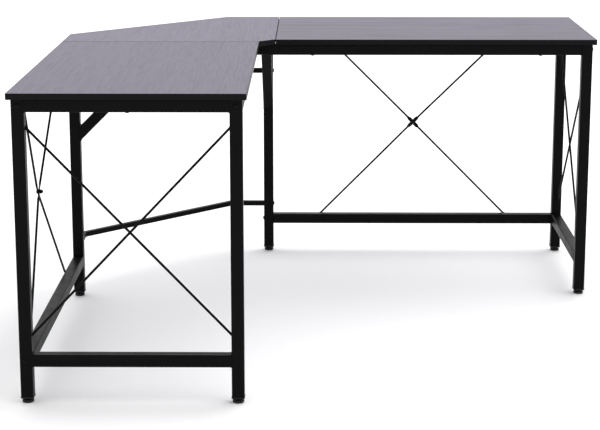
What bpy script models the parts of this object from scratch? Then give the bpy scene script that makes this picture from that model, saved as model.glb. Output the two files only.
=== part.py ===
"""Corner desk: three boards on a bolted frame of square steel tube.

The desk is its own mirror image across the diagonal of the corner, so every piece of a wing is
placed by how far it lies along the wall from the corner, how far it stands off the wall, and
how high it is. The right wing runs along +X and the left wing along -Y.
"""
import math

import bmesh
import bpy
from mathutils import Matrix, Vector

# ---------------------------------------------------------------- driving dimensions (metres)
SPAN = 1.500                 # length of each wall side, from the virtual corner to the wing's end
WING_DEPTH = 0.550           # board depth of a wing, from its wall side to the user's side
HEIGHT = 0.745               # floor to board top
BOARD_THICKNESS = 0.015
BOARD_GAP = 0.0015           # open seam between two boards
CORNER_MARGIN = 0.045        # how much longer the corner board's side is than a wing is deep
CORNER_STRAIGHT = 0.163      # wall side left on the corner board, beside its cut-off corner
INNER_LEDGE = 0.007          # short straight stretch between a seam and the inner chamfer

TUBE = 0.030                 # outside of the square frame tube
TUBE_WALL = 0.0015
TUBE_RADIUS = 0.003          # rounding of the tube's long edges
END_PLATE = 0.003            # plate welded inside a bolted tube end
LEG_INSET = 0.010            # board edge to the outer face of a leg
CORNER_LEG_BACK = 0.035      # seam to the centre of the corner leg
LOW_RAIL_HEIGHT = 0.105      # floor to the centre of the bottom rails

BRACE_REACH = 0.220          # leg face to the 45 degree brace's centre, along the arm
TIE_SIZE = 0.015             # outside of the square tie bar round the cut-off corner
TIE_WALL = 0.0012
TIE_SETBACK = 0.025          # board's cut-off edge to the middle of the tie bar
TIE_BEND_RADIUS = 0.022
LOWER_TIE_RISE = 0.048       # centre of the bottom rails up to the lower tie bar
UPPER_TIE_DROP = 0.135       # centre of the top rails down to the upper tie bar

ROD = 0.006                  # diameter of every brace rod
END_ROD_RISE = 0.046         # bottom rail's top face up to the end frame's rods
END_ROD_DROP = 0.038         # top rail's underside down to the end frame's rods
CROSS_BOW = 0.020            # the wall rods' crossing stands this far outside the rails
FLAT_THICKNESS = 0.0024      # a wall rod is pressed flat where it is bolted
FLAT_WIDTH = 0.0116
FLAT_LENGTH = 0.030          # pressed length at the crossing
FLAT_RUNOUT = 0.010          # round to flat
TAB_LENGTH = 0.018           # pressed length at each end
TAB_BEYOND_HOLE = 0.007

BOLT = 0.006                 # shank diameter of the frame bolts
BOLT_CLEARANCE = 0.0004      # all round a shank in its hole
BOLT_HEAD = 0.012
BOLT_HEAD_HEIGHT = 0.003
BOLT_GRIP = 0.012            # shank beyond the leg, inside the rail's end
BOLT_TIP = 0.0006            # chamfer of the shank's tip
HEX_KEY = 0.004              # across the flats of the bolt head's socket
NUT_SIDE_WALL = 0.0016       # hole to the flats of the cap nut
NUT_HEX_HEIGHT = 0.005
NUT_DOME_HEIGHT = 0.0045
NUT_BLIND_DEPTH = 0.0018     # how far the cap nut's hole goes past its hexagon

FOOT_DIAMETER = 0.028
FOOT_DISC_HEIGHT = 0.008
FOOT_NECK_HEIGHT = 0.004
FOOT_NECK = 0.014
FOOT_EDGE = 0.0015           # rounding of the foot's disc
STUD = 0.008
STUD_LENGTH = 0.024          # above the neck
STUD_TIP = 0.001             # chamfer of the stud's tip
STUD_CLEARANCE = 0.0004      # all round the stud in its hole
CAP_FLANGE = 0.003           # plate of the plastic cap under the leg
CAP_LIP = 0.0008             # how far that plate stands past the tube
CAP_PLUG = 0.020             # depth of the cap's plug in the tube
CAP_PLUG_WALL = 0.0022       # ring of plastic round the stud hole and round the plug

CONNECTOR_LEG = 0.060        # arm of the angle piece in the mitred rails
CONNECTOR_WALL = 0.003

TOUCH = 0.0003               # gap left between pieces that touch
SLIP = 0.0004                # clearance of a plug in a tube
FOOT_SIDES = 16
BOLT_SIDES = 12
ROD_SIDES = 10
HOLE_SIDES = 12
TIE_BEND_STEPS = 4

# ---------------------------------------------------------------- places worked out from them
LEG_ACROSS = LEG_INSET + TUBE / 2                        # wall-side legs, across from the wall
INNER_ACROSS = WING_DEPTH - LEG_INSET - TUBE / 2         # user-side legs and inner rails
END_ALONG = SPAN - LEG_INSET - TUBE / 2                  # legs and rails of the end frame
CORNER_SIDE = WING_DEPTH + CORNER_MARGIN                 # wall length taken by the corner board
CORNER_CLIP = CORNER_SIDE - CORNER_STRAIGHT              # wall length of the cut-off corner
CORNER_ALONG = CORNER_SIDE - CORNER_LEG_BACK             # corner leg and its arm
FRAME_TOP = HEIGHT - BOARD_THICKNESS - TOUCH
TOP_RAIL_HEIGHT = FRAME_TOP - TUBE / 2
TOP_RAIL_UNDERSIDE = FRAME_TOP - TUBE
LEG_BOTTOM = FOOT_DISC_HEIGHT + FOOT_NECK_HEIGHT + TOUCH + CAP_FLANGE + TOUCH
LOWER_TIE_HEIGHT = LOW_RAIL_HEIGHT + LOWER_TIE_RISE
UPPER_TIE_HEIGHT = TOP_RAIL_HEIGHT - UPPER_TIE_DROP
TIE_BEND_ALONG = CORNER_CLIP + TIE_SETBACK * math.sqrt(2) - LEG_ACROSS
END_ROD_LOW = LOW_RAIL_HEIGHT + TUBE / 2 + END_ROD_RISE
END_ROD_HIGH = TOP_RAIL_UNDERSIDE - END_ROD_DROP
CROSS_ACROSS = LEG_INSET - CROSS_BOW                     # plane between the two pressed flats
TAB_ACROSS = LEG_INSET - TOUCH - FLAT_THICKNESS / 2
FLAT_OFFSET = (FLAT_THICKNESS + TOUCH) / 2               # crossing plane to the middle of a flat
BOLT_HOLE = BOLT + 2 * BOLT_CLEARANCE
NUT_FLATS = BOLT_HOLE + 2 * NUT_SIDE_WALL
STUD_HOLE = STUD + 2 * STUD_CLEARANCE
BOLT_PROUD = FLAT_OFFSET + FLAT_THICKNESS / 2 + TOUCH + BOLT_HEAD_HEIGHT - CROSS_ACROSS

# The origin is on the floor, midway across the whole object with its outermost bolt heads.
WALL_X = (BOLT_PROUD - SPAN) / 2
WALL_Y = -WALL_X

UP = Vector((0.0, 0.0, 1.0))
WINGS = ("left", "right")
DESK_COLLECTION = "corner_desk"
CUTTER_COLLECTION = "cutters"


def place(wing, along, across, height):
    """World point, from its distances along the wall, off the wall and above the floor."""
    if wing == "right":
        return Vector((WALL_X + along, WALL_Y - across, height))
    return Vector((WALL_X + across, WALL_Y - along, height))


def direction(wing, along, across, height):
    """World direction, from its parts along the wall, off the wall and up."""
    return place(wing, along, across, height) - place(wing, 0.0, 0.0, 0.0)


# ---------------------------------------------------------------- scene and materials
def clear_scene():
    for item in list(bpy.data.objects):
        bpy.data.objects.remove(item, do_unlink=True)


def new_collection(name):
    group = bpy.data.collections.new(name)
    bpy.context.scene.collection.children.link(group)
    return group


def principled(name, colour, roughness, metallic):
    material = bpy.data.materials.new(name)
    material.use_nodes = True
    shader = material.node_tree.nodes["Principled BSDF"]
    shader.inputs["Base Color"].default_value = (*colour, 1.0)
    shader.inputs["Roughness"].default_value = roughness
    shader.inputs["Metallic"].default_value = metallic
    material.diffuse_color = (*colour, 1.0)
    return material


def make_materials():
    return {
        "board": principled("grey_board", (0.29, 0.27, 0.31), 0.45, 0.0),
        "steel": principled("black_powder_coat", (0.014, 0.014, 0.016), 0.42, 0.0),
        "plastic": principled("black_plastic", (0.012, 0.012, 0.012), 0.50, 0.0),
        "bolt": principled("black_zinc_bolt", (0.020, 0.020, 0.022), 0.35, 0.9),
    }


# ---------------------------------------------------------------- mesh helpers
def mesh_from(work, name):
    """Finish a bmesh as a mesh with its faces pointing out."""
    bmesh.ops.recalc_face_normals(work, faces=work.faces)
    mesh = bpy.data.meshes.new(name)
    work.to_mesh(mesh)
    work.free()
    return mesh


def axes_towards(start, end, side):
    """Rotation whose Z runs from start to end and whose X is as near to side as it can be."""
    z_axis = (end - start).normalized()
    y_axis = z_axis.cross(side).normalized()
    x_axis = y_axis.cross(z_axis)
    return Matrix((x_axis, y_axis, z_axis)).transposed()


def slide_end(vertices, normal):
    """Slide end vertices along Z onto the plane with this normal, as a saw cut would."""
    for vertex in vertices:
        vertex.co.z -= (normal.x * vertex.co.x + normal.y * vertex.co.y) / normal.z


def bar_mesh(name, size, length, radius, segments, start_normal, end_normal):
    """Square bar from z = 0 to length with rounded long edges, its ends cut to two planes."""
    work = bmesh.new()
    bmesh.ops.create_cube(work, size=1.0)
    bmesh.ops.scale(work, vec=(size, size, length), verts=work.verts)
    bmesh.ops.translate(work, vec=(0.0, 0.0, length / 2), verts=work.verts)
    long_edges = []
    for edge in work.edges:
        low, high = edge.verts
        if abs(low.co.z - high.co.z) > length / 2:
            long_edges.append(edge)
    bmesh.ops.bevel(work, geom=long_edges, offset=radius, segments=segments, profile=0.5,
                    affect="EDGES", clamp_overlap=True)
    slide_end([v for v in work.verts if v.co.z < length / 2], start_normal)
    slide_end([v for v in work.verts if v.co.z > length / 2], end_normal)
    return mesh_from(work, name)


def rod_mesh(name, diameter, length, sides, start_normal, end_normal):
    """Round bar from z = 0 to length with its two ends cut to planes."""
    work = bmesh.new()
    bmesh.ops.create_cone(work, cap_ends=True, segments=sides, radius1=diameter / 2,
                          radius2=diameter / 2, depth=length)
    bmesh.ops.translate(work, vec=(0.0, 0.0, length / 2), verts=work.verts)
    slide_end([v for v in work.verts if v.co.z < length / 2], start_normal)
    slide_end([v for v in work.verts if v.co.z > length / 2], end_normal)
    return mesh_from(work, name)


def outline_mesh(name, outline, thickness):
    """Flat closed outline extruded to its thickness, as a welded mesh."""
    curve = bpy.data.curves.new(name + "_outline", "CURVE")
    curve.dimensions = "2D"
    curve.fill_mode = "BOTH"
    curve.extrude = thickness / 2
    spline = curve.splines.new("POLY")
    spline.points.add(len(outline) - 1)
    for point, (x, y) in zip(spline.points, outline):
        point.co = (x, y, 0.0, 1.0)
    spline.use_cyclic_u = True
    drawn = bpy.data.objects.new(name + "_outline", curve)
    bpy.context.scene.collection.objects.link(drawn)
    bpy.context.view_layer.update()
    graph = bpy.context.evaluated_depsgraph_get()
    mesh = bpy.data.meshes.new_from_object(drawn.evaluated_get(graph))
    bpy.data.objects.remove(drawn, do_unlink=True)
    bpy.data.curves.remove(curve)
    work = bmesh.new()
    work.from_mesh(mesh)
    bmesh.ops.remove_doubles(work, verts=work.verts, dist=0.00001)
    bpy.data.meshes.remove(mesh)
    return mesh_from(work, name)


class Desk:
    """Holds the two collections and the materials, and adds named pieces to them."""

    def __init__(self):
        self.pieces = new_collection(DESK_COLLECTION)
        self.cutters = new_collection(CUTTER_COLLECTION)
        self.materials = make_materials()

    def add(self, name, mesh, material, location, rotation=None):
        piece = bpy.data.objects.new(name, mesh)
        piece.location = location
        if rotation is not None:
            piece.rotation_euler = rotation.to_euler()
        piece.data.materials.clear()
        piece.data.materials.append(self.materials[material])
        self.pieces.objects.link(piece)
        return piece

    def add_cutter(self, name, mesh, location, rotation=None):
        cutter = bpy.data.objects.new(name, mesh)
        cutter.location = location
        if rotation is not None:
            cutter.rotation_euler = rotation.to_euler()
        cutter.hide_render = True
        cutter.display_type = "WIRE"
        self.cutters.objects.link(cutter)
        return cutter

    def cut(self, piece, cutter, operation="DIFFERENCE"):
        step = piece.modifiers.new(cutter.name, "BOOLEAN")
        step.operation = operation
        step.solver = "EXACT"
        step.object = cutter

    def tube(self, name, start, end, side, start_normal=None, end_normal=None,
             start_plate=0.0, end_plate=0.0):
        """Square frame tube between two points, with cut planes or end plates where asked."""
        turn = axes_towards(start, end, side)
        length = (end - start).length
        to_local = turn.transposed()
        first = to_local @ (start_normal or end - start)
        last = to_local @ (end_normal or end - start)
        mesh = bar_mesh(name, TUBE, length, TUBE_RADIUS, 2, first, last)
        piece = self.add(name, mesh, "steel", start, turn)
        bore_from = start_plate or -TUBE
        bore_to = length - (end_plate or -TUBE)
        bore = bar_mesh(name + "_bore", TUBE - 2 * TUBE_WALL, bore_to - bore_from,
                        TUBE_RADIUS - TUBE_WALL, 1, UP, UP)
        bore_start = start + turn @ Vector((0.0, 0.0, bore_from))
        self.cut(piece, self.add_cutter(name + "_bore", bore, bore_start, turn))
        return piece

    def rod(self, name, start, end, start_normal, end_normal):
        """Solid round rod between two points, its ends cut to the faces they are welded to."""
        turn = axes_towards(start, end, UP)
        to_local = turn.transposed()
        mesh = rod_mesh(name, ROD, (end - start).length, ROD_SIDES, to_local @ start_normal,
                        to_local @ end_normal)
        return self.add(name, mesh, "steel", start, turn)

    def hole(self, name, start, end, diameter, pieces):
        """One drilled hole from start to end through every piece given."""
        turn = axes_towards(start, end, Vector((1.0, 1.0, 1.0)))
        mesh = rod_mesh(name, diameter, (end - start).length, HOLE_SIDES, UP, UP)
        drill = self.add_cutter(name, mesh, start, turn)
        for piece in pieces:
            self.cut(piece, drill)

    def turned(self, name, profile, material, steps, location, rotation=None):
        """Solid of revolution from a half profile that runs down its outer side."""
        mesh = bpy.data.meshes.new(name)
        points = [(radius, 0.0, height) for radius, height in profile]
        edges = [(index, index + 1) for index in range(len(points) - 1)]
        mesh.from_pydata(points, edges, [])
        piece = self.add(name, mesh, material, location, rotation)
        spin = piece.modifiers.new("turn", "SCREW")
        spin.axis = "Z"
        spin.angle = 2 * math.pi
        spin.steps = steps
        spin.render_steps = steps
        spin.use_merge_vertices = True
        spin.merge_threshold = 0.00001
        spin.use_smooth_shade = True
        return piece

    def bolt(self, name, seat, into, grip):
        """Button-head bolt whose head rests on the seat point and whose shank points into."""
        profile = bolt_profile(grip)
        out = -into.normalized()
        turn = axes_towards(seat, seat + out, UP)
        piece = self.turned(name, profile, "bolt", BOLT_SIDES, seat, turn)
        socket = bmesh.new()
        depth = BOLT_HEAD_HEIGHT * 0.6
        bmesh.ops.create_cone(socket, cap_ends=True, segments=6, radius1=HEX_KEY / math.sqrt(3),
                              radius2=HEX_KEY / math.sqrt(3), depth=2 * depth)
        mesh = mesh_from(socket, name + "_socket")
        top = seat + out * (TOUCH + BOLT_HEAD_HEIGHT)
        self.cut(piece, self.add_cutter(name + "_socket", mesh, top, turn))


def bolt_profile(grip):
    """Half profile of a button-head bolt, its seat at z = 0 and its shank below."""
    head = BOLT_HEAD / 2
    shank = BOLT / 2
    top = TOUCH + BOLT_HEAD_HEIGHT
    return [
        (0.0, top),
        (head * 0.55, top),
        (head * 0.86, top - BOLT_HEAD_HEIGHT * 0.30),
        (head, top - BOLT_HEAD_HEIGHT * 0.75),
        (head, TOUCH),
        (shank, TOUCH),
        (shank, BOLT_TIP - grip),
        (shank - BOLT_TIP, -grip),
        (0.0, -grip),
    ]


# ---------------------------------------------------------------- boards
def add_wing_board(desk, wing):
    """Plain rectangular board from the seam to the wing's end."""
    length = SPAN - CORNER_SIDE - BOARD_GAP / 2
    work = bmesh.new()
    bmesh.ops.create_cube(work, size=1.0)
    size = direction(wing, length, WING_DEPTH, BOARD_THICKNESS)
    bmesh.ops.scale(work, vec=(abs(size.x), abs(size.y), BOARD_THICKNESS), verts=work.verts)
    centre = place(wing, SPAN - length / 2, WING_DEPTH / 2, HEIGHT - BOARD_THICKNESS / 2)
    desk.add(wing + "_desktop", mesh_from(work, wing + "_desktop"), "board", centre)


def corner_outline():
    """Corner board seen from above, round from the right wing's wall side."""
    near = BOARD_GAP / 2
    half = [
        (CORNER_CLIP, 0.0),
        (CORNER_SIDE - near, 0.0),
        (CORNER_SIDE - near, WING_DEPTH),
        (CORNER_SIDE - INNER_LEDGE, WING_DEPTH),
    ]
    points = [(along, -across) for along, across in half]
    points += [(across, -along) for along, across in reversed(half)]
    return points


def add_corner_board(desk):
    mesh = outline_mesh("corner_desktop", corner_outline(), BOARD_THICKNESS)
    corner = Vector((WALL_X, WALL_Y, HEIGHT - BOARD_THICKNESS / 2))
    desk.add("corner_desktop", mesh, "board", corner)


# ---------------------------------------------------------------- legs and feet
LEGS = {
    "corner": (CORNER_ALONG, LEG_ACROSS),
    "end_wall": (END_ALONG, LEG_ACROSS),
    "end_inner": (END_ALONG, INNER_ACROSS),
}


def add_leg(desk, wing, kind):
    along, across = LEGS[kind]
    foot = place(wing, along, across, LEG_BOTTOM)
    top = place(wing, along, across, FRAME_TOP)
    return desk.tube(wing + "_" + kind + "_leg", foot, top, Vector((1, 0, 0)))


def add_end_cap(desk, wing, kind):
    """Plastic cap: a square plate under the leg, a plug in its bore, and a hole for the stud."""
    name = wing + "_" + kind + "_end_cap"
    along, across = LEGS[kind]
    base = place(wing, along, across, LEG_BOTTOM - TOUCH - CAP_FLANGE)
    plate = bar_mesh(name, TUBE + 2 * CAP_LIP, CAP_FLANGE, TUBE_RADIUS, 2, UP, UP)
    cap = desk.add(name, plate, "plastic", base)
    plug_size = TUBE - 2 * TUBE_WALL - 2 * SLIP
    plug = bar_mesh(name + "_plug", plug_size, CAP_PLUG + CAP_FLANGE / 2, TUBE_RADIUS / 2, 1,
                    UP, UP)
    desk.cut(cap, desk.add_cutter(name + "_plug", plug, base + UP * CAP_FLANGE / 2), "UNION")
    hollow_size = plug_size - 2 * CAP_PLUG_WALL
    hollow = bar_mesh(name + "_hollow", hollow_size, CAP_PLUG * 2, TUBE_RADIUS / 2, 1,
                      UP, UP)
    floor = base + UP * (CAP_FLANGE + CAP_PLUG_WALL)
    desk.cut(cap, desk.add_cutter(name + "_hollow", hollow, floor))
    boss = rod_mesh(name + "_boss", STUD_HOLE + 2 * CAP_PLUG_WALL, CAP_PLUG + CAP_FLANGE / 2,
                    HOLE_SIDES, UP, UP)
    desk.cut(cap, desk.add_cutter(name + "_boss", boss, base + UP * CAP_FLANGE / 2), "UNION")
    desk.hole(name + "_stud_hole", base - UP * CAP_FLANGE, base + UP * (CAP_FLANGE + CAP_PLUG) * 2,
              STUD_HOLE, [cap])


def foot_profile():
    """Half profile of a levelling foot: stud, neck and rounded disc, standing on z = 0."""
    disc = FOOT_DIAMETER / 2
    neck = FOOT_NECK / 2
    stud = STUD / 2
    neck_top = FOOT_DISC_HEIGHT + FOOT_NECK_HEIGHT
    top = neck_top + STUD_LENGTH
    return [
        (0.0, top),
        (stud - STUD_TIP, top),
        (stud, top - STUD_TIP),
        (stud, neck_top),
        (neck, neck_top),
        (neck, FOOT_DISC_HEIGHT),
        (disc - FOOT_EDGE, FOOT_DISC_HEIGHT),
        (disc, FOOT_DISC_HEIGHT - FOOT_EDGE),
        (disc, FOOT_EDGE),
        (disc - FOOT_EDGE, 0.0),
        (0.0, 0.0),
    ]


def add_foot(desk, wing, kind):
    along, across = LEGS[kind]
    axis = place(wing, along, across, 0.0)
    name = wing + "_" + kind + "_levelling_foot"
    desk.turned(name, foot_profile(), "plastic", FOOT_SIDES, axis)


# ---------------------------------------------------------------- rails
def add_wall_rail(desk, wing, level, height):
    """Rail bolted between the corner leg and the end frame, on the wall side."""
    gap = TUBE / 2 + TOUCH
    start = place(wing, CORNER_ALONG + gap, LEG_ACROSS, height)
    end = place(wing, END_ALONG - gap, LEG_ACROSS, height)
    return desk.tube(wing + "_wall_" + level + "_rail", start, end, UP,
                     start_plate=END_PLATE, end_plate=END_PLATE)


def add_end_rail(desk, wing, level, height):
    """Rail welded between the two legs of the end frame."""
    gap = TUBE / 2 + TOUCH
    start = place(wing, END_ALONG, LEG_ACROSS + gap, height)
    end = place(wing, END_ALONG, INNER_ACROSS - gap, height)
    desk.tube(wing + "_end_" + level + "_rail", start, end, UP)


def add_inner_rail(desk, wing):
    """Rail under the user's edge, from the end frame to a mitre at the inner corner."""
    gap = TUBE / 2 + TOUCH
    mitre_gap = TOUCH / math.sqrt(2)
    start = place(wing, INNER_ACROSS + mitre_gap, INNER_ACROSS, TOP_RAIL_HEIGHT)
    end = place(wing, END_ALONG - gap, INNER_ACROSS, TOP_RAIL_HEIGHT)
    return desk.tube(wing + "_inner_top_rail", start, end, UP,
                     start_normal=direction(wing, 1.0, -1.0, 0.0), end_plate=END_PLATE)


def add_corner_arm(desk, wing):
    """Arm from the corner leg to the inner rail, under the corner board."""
    gap = TUBE / 2 + TOUCH
    start = place(wing, CORNER_ALONG, LEG_ACROSS + gap, TOP_RAIL_HEIGHT)
    end = place(wing, CORNER_ALONG, INNER_ACROSS - gap, TOP_RAIL_HEIGHT)
    desk.tube(wing + "_corner_arm", start, end, UP)


def add_corner_brace(desk, wing):
    """Tube at 45 degrees that holds the arm up from the corner leg."""
    face = LEG_ACROSS + TUBE / 2 + TOUCH
    under = TOP_RAIL_UNDERSIDE - TOUCH
    start = place(wing, CORNER_ALONG, face, under - BRACE_REACH)
    end = place(wing, CORNER_ALONG, face + BRACE_REACH, under)
    desk.tube(wing + "_corner_brace", start, end, direction(wing, 1.0, 0.0, 0.0),
              start_normal=direction(wing, 0.0, 1.0, 0.0), end_normal=UP)


def add_corner_connector(desk):
    """Hollow angle piece that fills the two mitred inner rails and lines them up."""
    name = "inner_corner_connector"
    size = TUBE - 2 * TUBE_WALL - 2 * SLIP
    easing = TUBE_RADIUS - TUBE_WALL
    near = INNER_ACROSS - size / 2 + easing
    far = INNER_ACROSS + size / 2 + CONNECTOR_LEG
    pocket_from = INNER_ACROSS + size / 2 + CONNECTOR_WALL
    parts = {}
    pockets = {}
    for wing in WINGS:
        start = place(wing, near, INNER_ACROSS, TOP_RAIL_HEIGHT)
        turn = axes_towards(start, place(wing, far, INNER_ACROSS, TOP_RAIL_HEIGHT), UP)
        leg = bar_mesh(name, size, far - near, easing, 1, UP, UP)
        parts[wing] = (leg, start, turn)
        mouth = place(wing, pocket_from, INNER_ACROSS, TOP_RAIL_HEIGHT)
        pocket = bar_mesh(name + "_pocket", size - 2 * CONNECTOR_WALL, CONNECTOR_LEG,
                          CONNECTOR_WALL / 3, 1, UP, UP)
        pockets[wing] = (pocket, mouth, turn)
    leg, start, turn = parts["left"]
    connector = desk.add(name, leg, "plastic", start, turn)
    desk.cut(connector, desk.add_cutter(name + "_right_leg", *parts["right"]), "UNION")
    for wing in WINGS:
        desk.cut(connector, desk.add_cutter(name + "_" + wing + "_pocket", *pockets[wing]))


# ---------------------------------------------------------------- rods of the end frames
def add_end_rods(desk, wing):
    """Two plain rods welded corner to corner between the end frame's legs."""
    face = TUBE / 2 + TOUCH
    wall_side = LEG_ACROSS + face
    user_side = INNER_ACROSS - face
    square_to_legs = direction(wing, 0.0, 1.0, 0.0)
    offset = (ROD + TOUCH) / 2
    heights = {
        "rising": (END_ROD_LOW, END_ROD_HIGH, offset),
        "falling": (END_ROD_HIGH, END_ROD_LOW, -offset),
    }
    for slope, (from_height, to_height, shift) in heights.items():
        start = place(wing, END_ALONG + shift, wall_side, from_height)
        end = place(wing, END_ALONG + shift, user_side, to_height)
        desk.rod(wing + "_end_rod_" + slope, start, end, square_to_legs, square_to_legs)


# ---------------------------------------------------------------- bolted rods on the wall side
def oval(width, thickness):
    """Points of a rod's cross-section, from round to pressed flat, as (in plane, off plane)."""
    edge_radius = thickness / 2
    straight = width / 2 - edge_radius
    points = []
    for index in range(ROD_SIDES):
        angle = 2 * math.pi * (index + 0.5) / ROD_SIDES
        side = math.copysign(straight, math.cos(angle))
        points.append((side + edge_radius * math.cos(angle), edge_radius * math.sin(angle)))
    return points


def pressed_rod_mesh(name, half_length, crossing_off, tab_off):
    """Rod along Z, pressed flat at its crossing and its two ends, and bowed off its plane.

    Its middle is at z = 0 and its off-plane axis is Y. Each half runs from the crossing's
    flat, straight to the end's flat tab, whose inner side is the round part's inner side.
    """
    rod_off = tab_off + (ROD - FLAT_THICKNESS) / 2
    flat_end = FLAT_LENGTH / 2
    tip = half_length + TAB_BEYOND_HOLE
    tab_start = tip - TAB_LENGTH
    stations = [
        (flat_end, crossing_off, True),
        (flat_end + FLAT_RUNOUT, crossing_off, False),
        (tab_start - FLAT_RUNOUT, rod_off, False),
        (tab_start, tab_off, True),
        (tip, tab_off, True),
    ]
    full = [(-z, off, flat) for z, off, flat in reversed(stations)] + stations
    work = bmesh.new()
    rings = []
    for z, off, flat in full:
        section = oval(FLAT_WIDTH, FLAT_THICKNESS) if flat else oval(ROD, ROD)
        rings.append([work.verts.new((x, off + y, z)) for x, y in section])
    for lower, upper in zip(rings, rings[1:]):
        for index in range(ROD_SIDES):
            after = (index + 1) % ROD_SIDES
            work.faces.new((lower[index], lower[after], upper[after], upper[index]))
    work.faces.new(rings[0])
    work.faces.new(rings[-1])
    return mesh_from(work, name)


def add_wall_rods(desk, wing):
    """Two rods crossed on the wall side, screwed to the rails and bolted at their crossing."""
    middle_along = (CORNER_ALONG + END_ALONG) / 2
    middle_height = (LOW_RAIL_HEIGHT + TOP_RAIL_HEIGHT) / 2
    rise = (TOP_RAIL_HEIGHT - LOW_RAIL_HEIGHT) / 2
    crossing = place(wing, middle_along, CROSS_ACROSS, middle_height)
    outward = direction(wing, 0.0, -1.0, 0.0)
    tab_from_crossing = CROSS_ACROSS - TAB_ACROSS
    rods = []
    for slope, sign in (("rising", 1.0), ("falling", -1.0)):
        name = wing + "_wall_rod_" + slope
        lean = direction(wing, rise, 0.0, sign * rise)
        z_axis = lean.normalized()
        x_axis = outward.cross(z_axis)
        turn = Matrix((x_axis, outward, z_axis)).transposed()
        mesh = pressed_rod_mesh(name, lean.length, sign * FLAT_OFFSET, tab_from_crossing)
        rod = desk.add(name, mesh, "steel", crossing, turn)
        rods.append(rod)
        for end, reach in (("corner", -1.0), ("end", 1.0)):
            centre = crossing + lean * reach
            desk.hole(name + "_" + end + "_hole", centre - outward * TUBE,
                      centre + outward * TUBE, BOLT_HOLE, [rod])
    desk.hole(wing + "_wall_rod_crossing_hole", crossing - outward * TUBE,
              crossing + outward * TUBE, BOLT_HOLE, rods)

    stack = FLAT_OFFSET + FLAT_THICKNESS / 2
    seat = crossing + outward * stack
    nut_seat = crossing - outward * (stack + TOUCH)
    grip = 2 * stack + TOUCH + NUT_HEX_HEIGHT
    desk.bolt(wing + "_cross_bolt", seat, -outward, grip)
    add_cap_nut(desk, wing, nut_seat, -outward)


def add_cap_nut(desk, wing, seat, away):
    """Domed hexagon nut, its flat side on the seat and its dome pointing away."""
    name = wing + "_cross_cap_nut"
    turn = axes_towards(seat, seat + away, UP)
    corner_radius = NUT_FLATS / math.sqrt(3)
    work = bmesh.new()
    bmesh.ops.create_cone(work, cap_ends=True, segments=6, radius1=corner_radius,
                          radius2=corner_radius, depth=NUT_HEX_HEIGHT)
    bmesh.ops.translate(work, vec=(0.0, 0.0, NUT_HEX_HEIGHT / 2), verts=work.verts)
    nut = desk.add(name, mesh_from(work, name), "bolt", seat, turn)

    dome = bmesh.new()
    base = NUT_FLATS * 0.47
    sunk = NUT_HEX_HEIGHT / 2
    bmesh.ops.create_uvsphere(dome, u_segments=HOLE_SIDES, v_segments=8, radius=1.0)
    bmesh.ops.scale(dome, vec=(base, base, NUT_DOME_HEIGHT + sunk), verts=dome.verts)
    bmesh.ops.bisect_plane(dome, geom=dome.verts[:] + dome.edges[:] + dome.faces[:], dist=0.00001,
                           plane_co=(0, 0, 0), plane_no=(0, 0, 1), clear_inner=True)
    rim = [edge for edge in dome.edges if edge.is_boundary]
    bmesh.ops.holes_fill(dome, edges=rim, sides=0)
    mesh = mesh_from(dome, name + "_dome")
    desk.cut(nut, desk.add_cutter(name + "_dome", mesh, seat + away * sunk, turn), "UNION")
    desk.hole(name + "_thread", seat - away * NUT_HEX_HEIGHT,
              seat + away * (NUT_HEX_HEIGHT + NUT_BLIND_DEPTH), BOLT_HOLE, [nut])


# ---------------------------------------------------------------- tie bars round the corner
def rounded_path(points, radius, steps):
    """Open path through the points with its inner corners rounded to the radius."""
    path = [points[0]]
    for before, corner, after in zip(points, points[1:], points[2:]):
        into = (corner - before).normalized()
        out = (after - corner).normalized()
        bend = into.angle_signed(out)
        setback = radius * math.tan(abs(bend) / 2)
        start = corner - into * setback
        side = Vector((into.y, -into.x)) * math.copysign(1.0, bend)
        centre = start + side * radius
        for step in range(steps + 1):
            spoke = start - centre
            spoke.rotate(Matrix.Rotation(-bend * step / steps, 2))
            path.append(centre + spoke)
    path.append(points[-1])
    return path


def strip_outline(path, half_width):
    """Closed outline of a strip of constant width along an open path."""
    left = []
    right = []
    for index, point in enumerate(path):
        before = path[max(index - 1, 0)]
        after = path[min(index + 1, len(path) - 1)]
        normal = Vector((before.y - after.y, after.x - before.x)).normalized()
        left.append(point + normal * half_width)
        right.append(point - normal * half_width)
    return [tuple(point) for point in left + right[::-1]]


def tie_path(end_gap):
    """Middle line of a tie bar seen from above, from the left corner leg to the right one."""
    face = CORNER_ALONG - TUBE / 2 - end_gap
    points = [
        Vector((LEG_ACROSS, -face)),
        Vector((LEG_ACROSS, -TIE_BEND_ALONG)),
        Vector((TIE_BEND_ALONG, -LEG_ACROSS)),
        Vector((face, -LEG_ACROSS)),
    ]
    return rounded_path(points, TIE_BEND_RADIUS, TIE_BEND_STEPS)


def add_tie_bar(desk, name, height):
    """Square tube bent twice to follow the cut-off corner, closed by a plate at each end."""
    corner = Vector((WALL_X, WALL_Y, height))
    mesh = outline_mesh(name, strip_outline(tie_path(TOUCH), TIE_SIZE / 2), TIE_SIZE)
    tie = desk.add(name, mesh, "steel", corner)
    bore_size = TIE_SIZE - 2 * TIE_WALL
    bore_outline = strip_outline(tie_path(TOUCH + END_PLATE), bore_size / 2)
    bore = outline_mesh(name + "_bore", bore_outline, bore_size)
    desk.cut(tie, desk.add_cutter(name + "_bore", bore, corner))
    return tie


# ---------------------------------------------------------------- bolted joints
def drill_leg_and_rail(desk, name, leg, rail, entry, into):
    """Bolt hole right through a leg and the plate in a rail's end, from the entry point."""
    desk.hole(name + "_hole", entry - into * TUBE / 2,
              entry + into * (TUBE + 2 * TOUCH + 2 * END_PLATE), BOLT_HOLE, [leg, rail])


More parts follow.
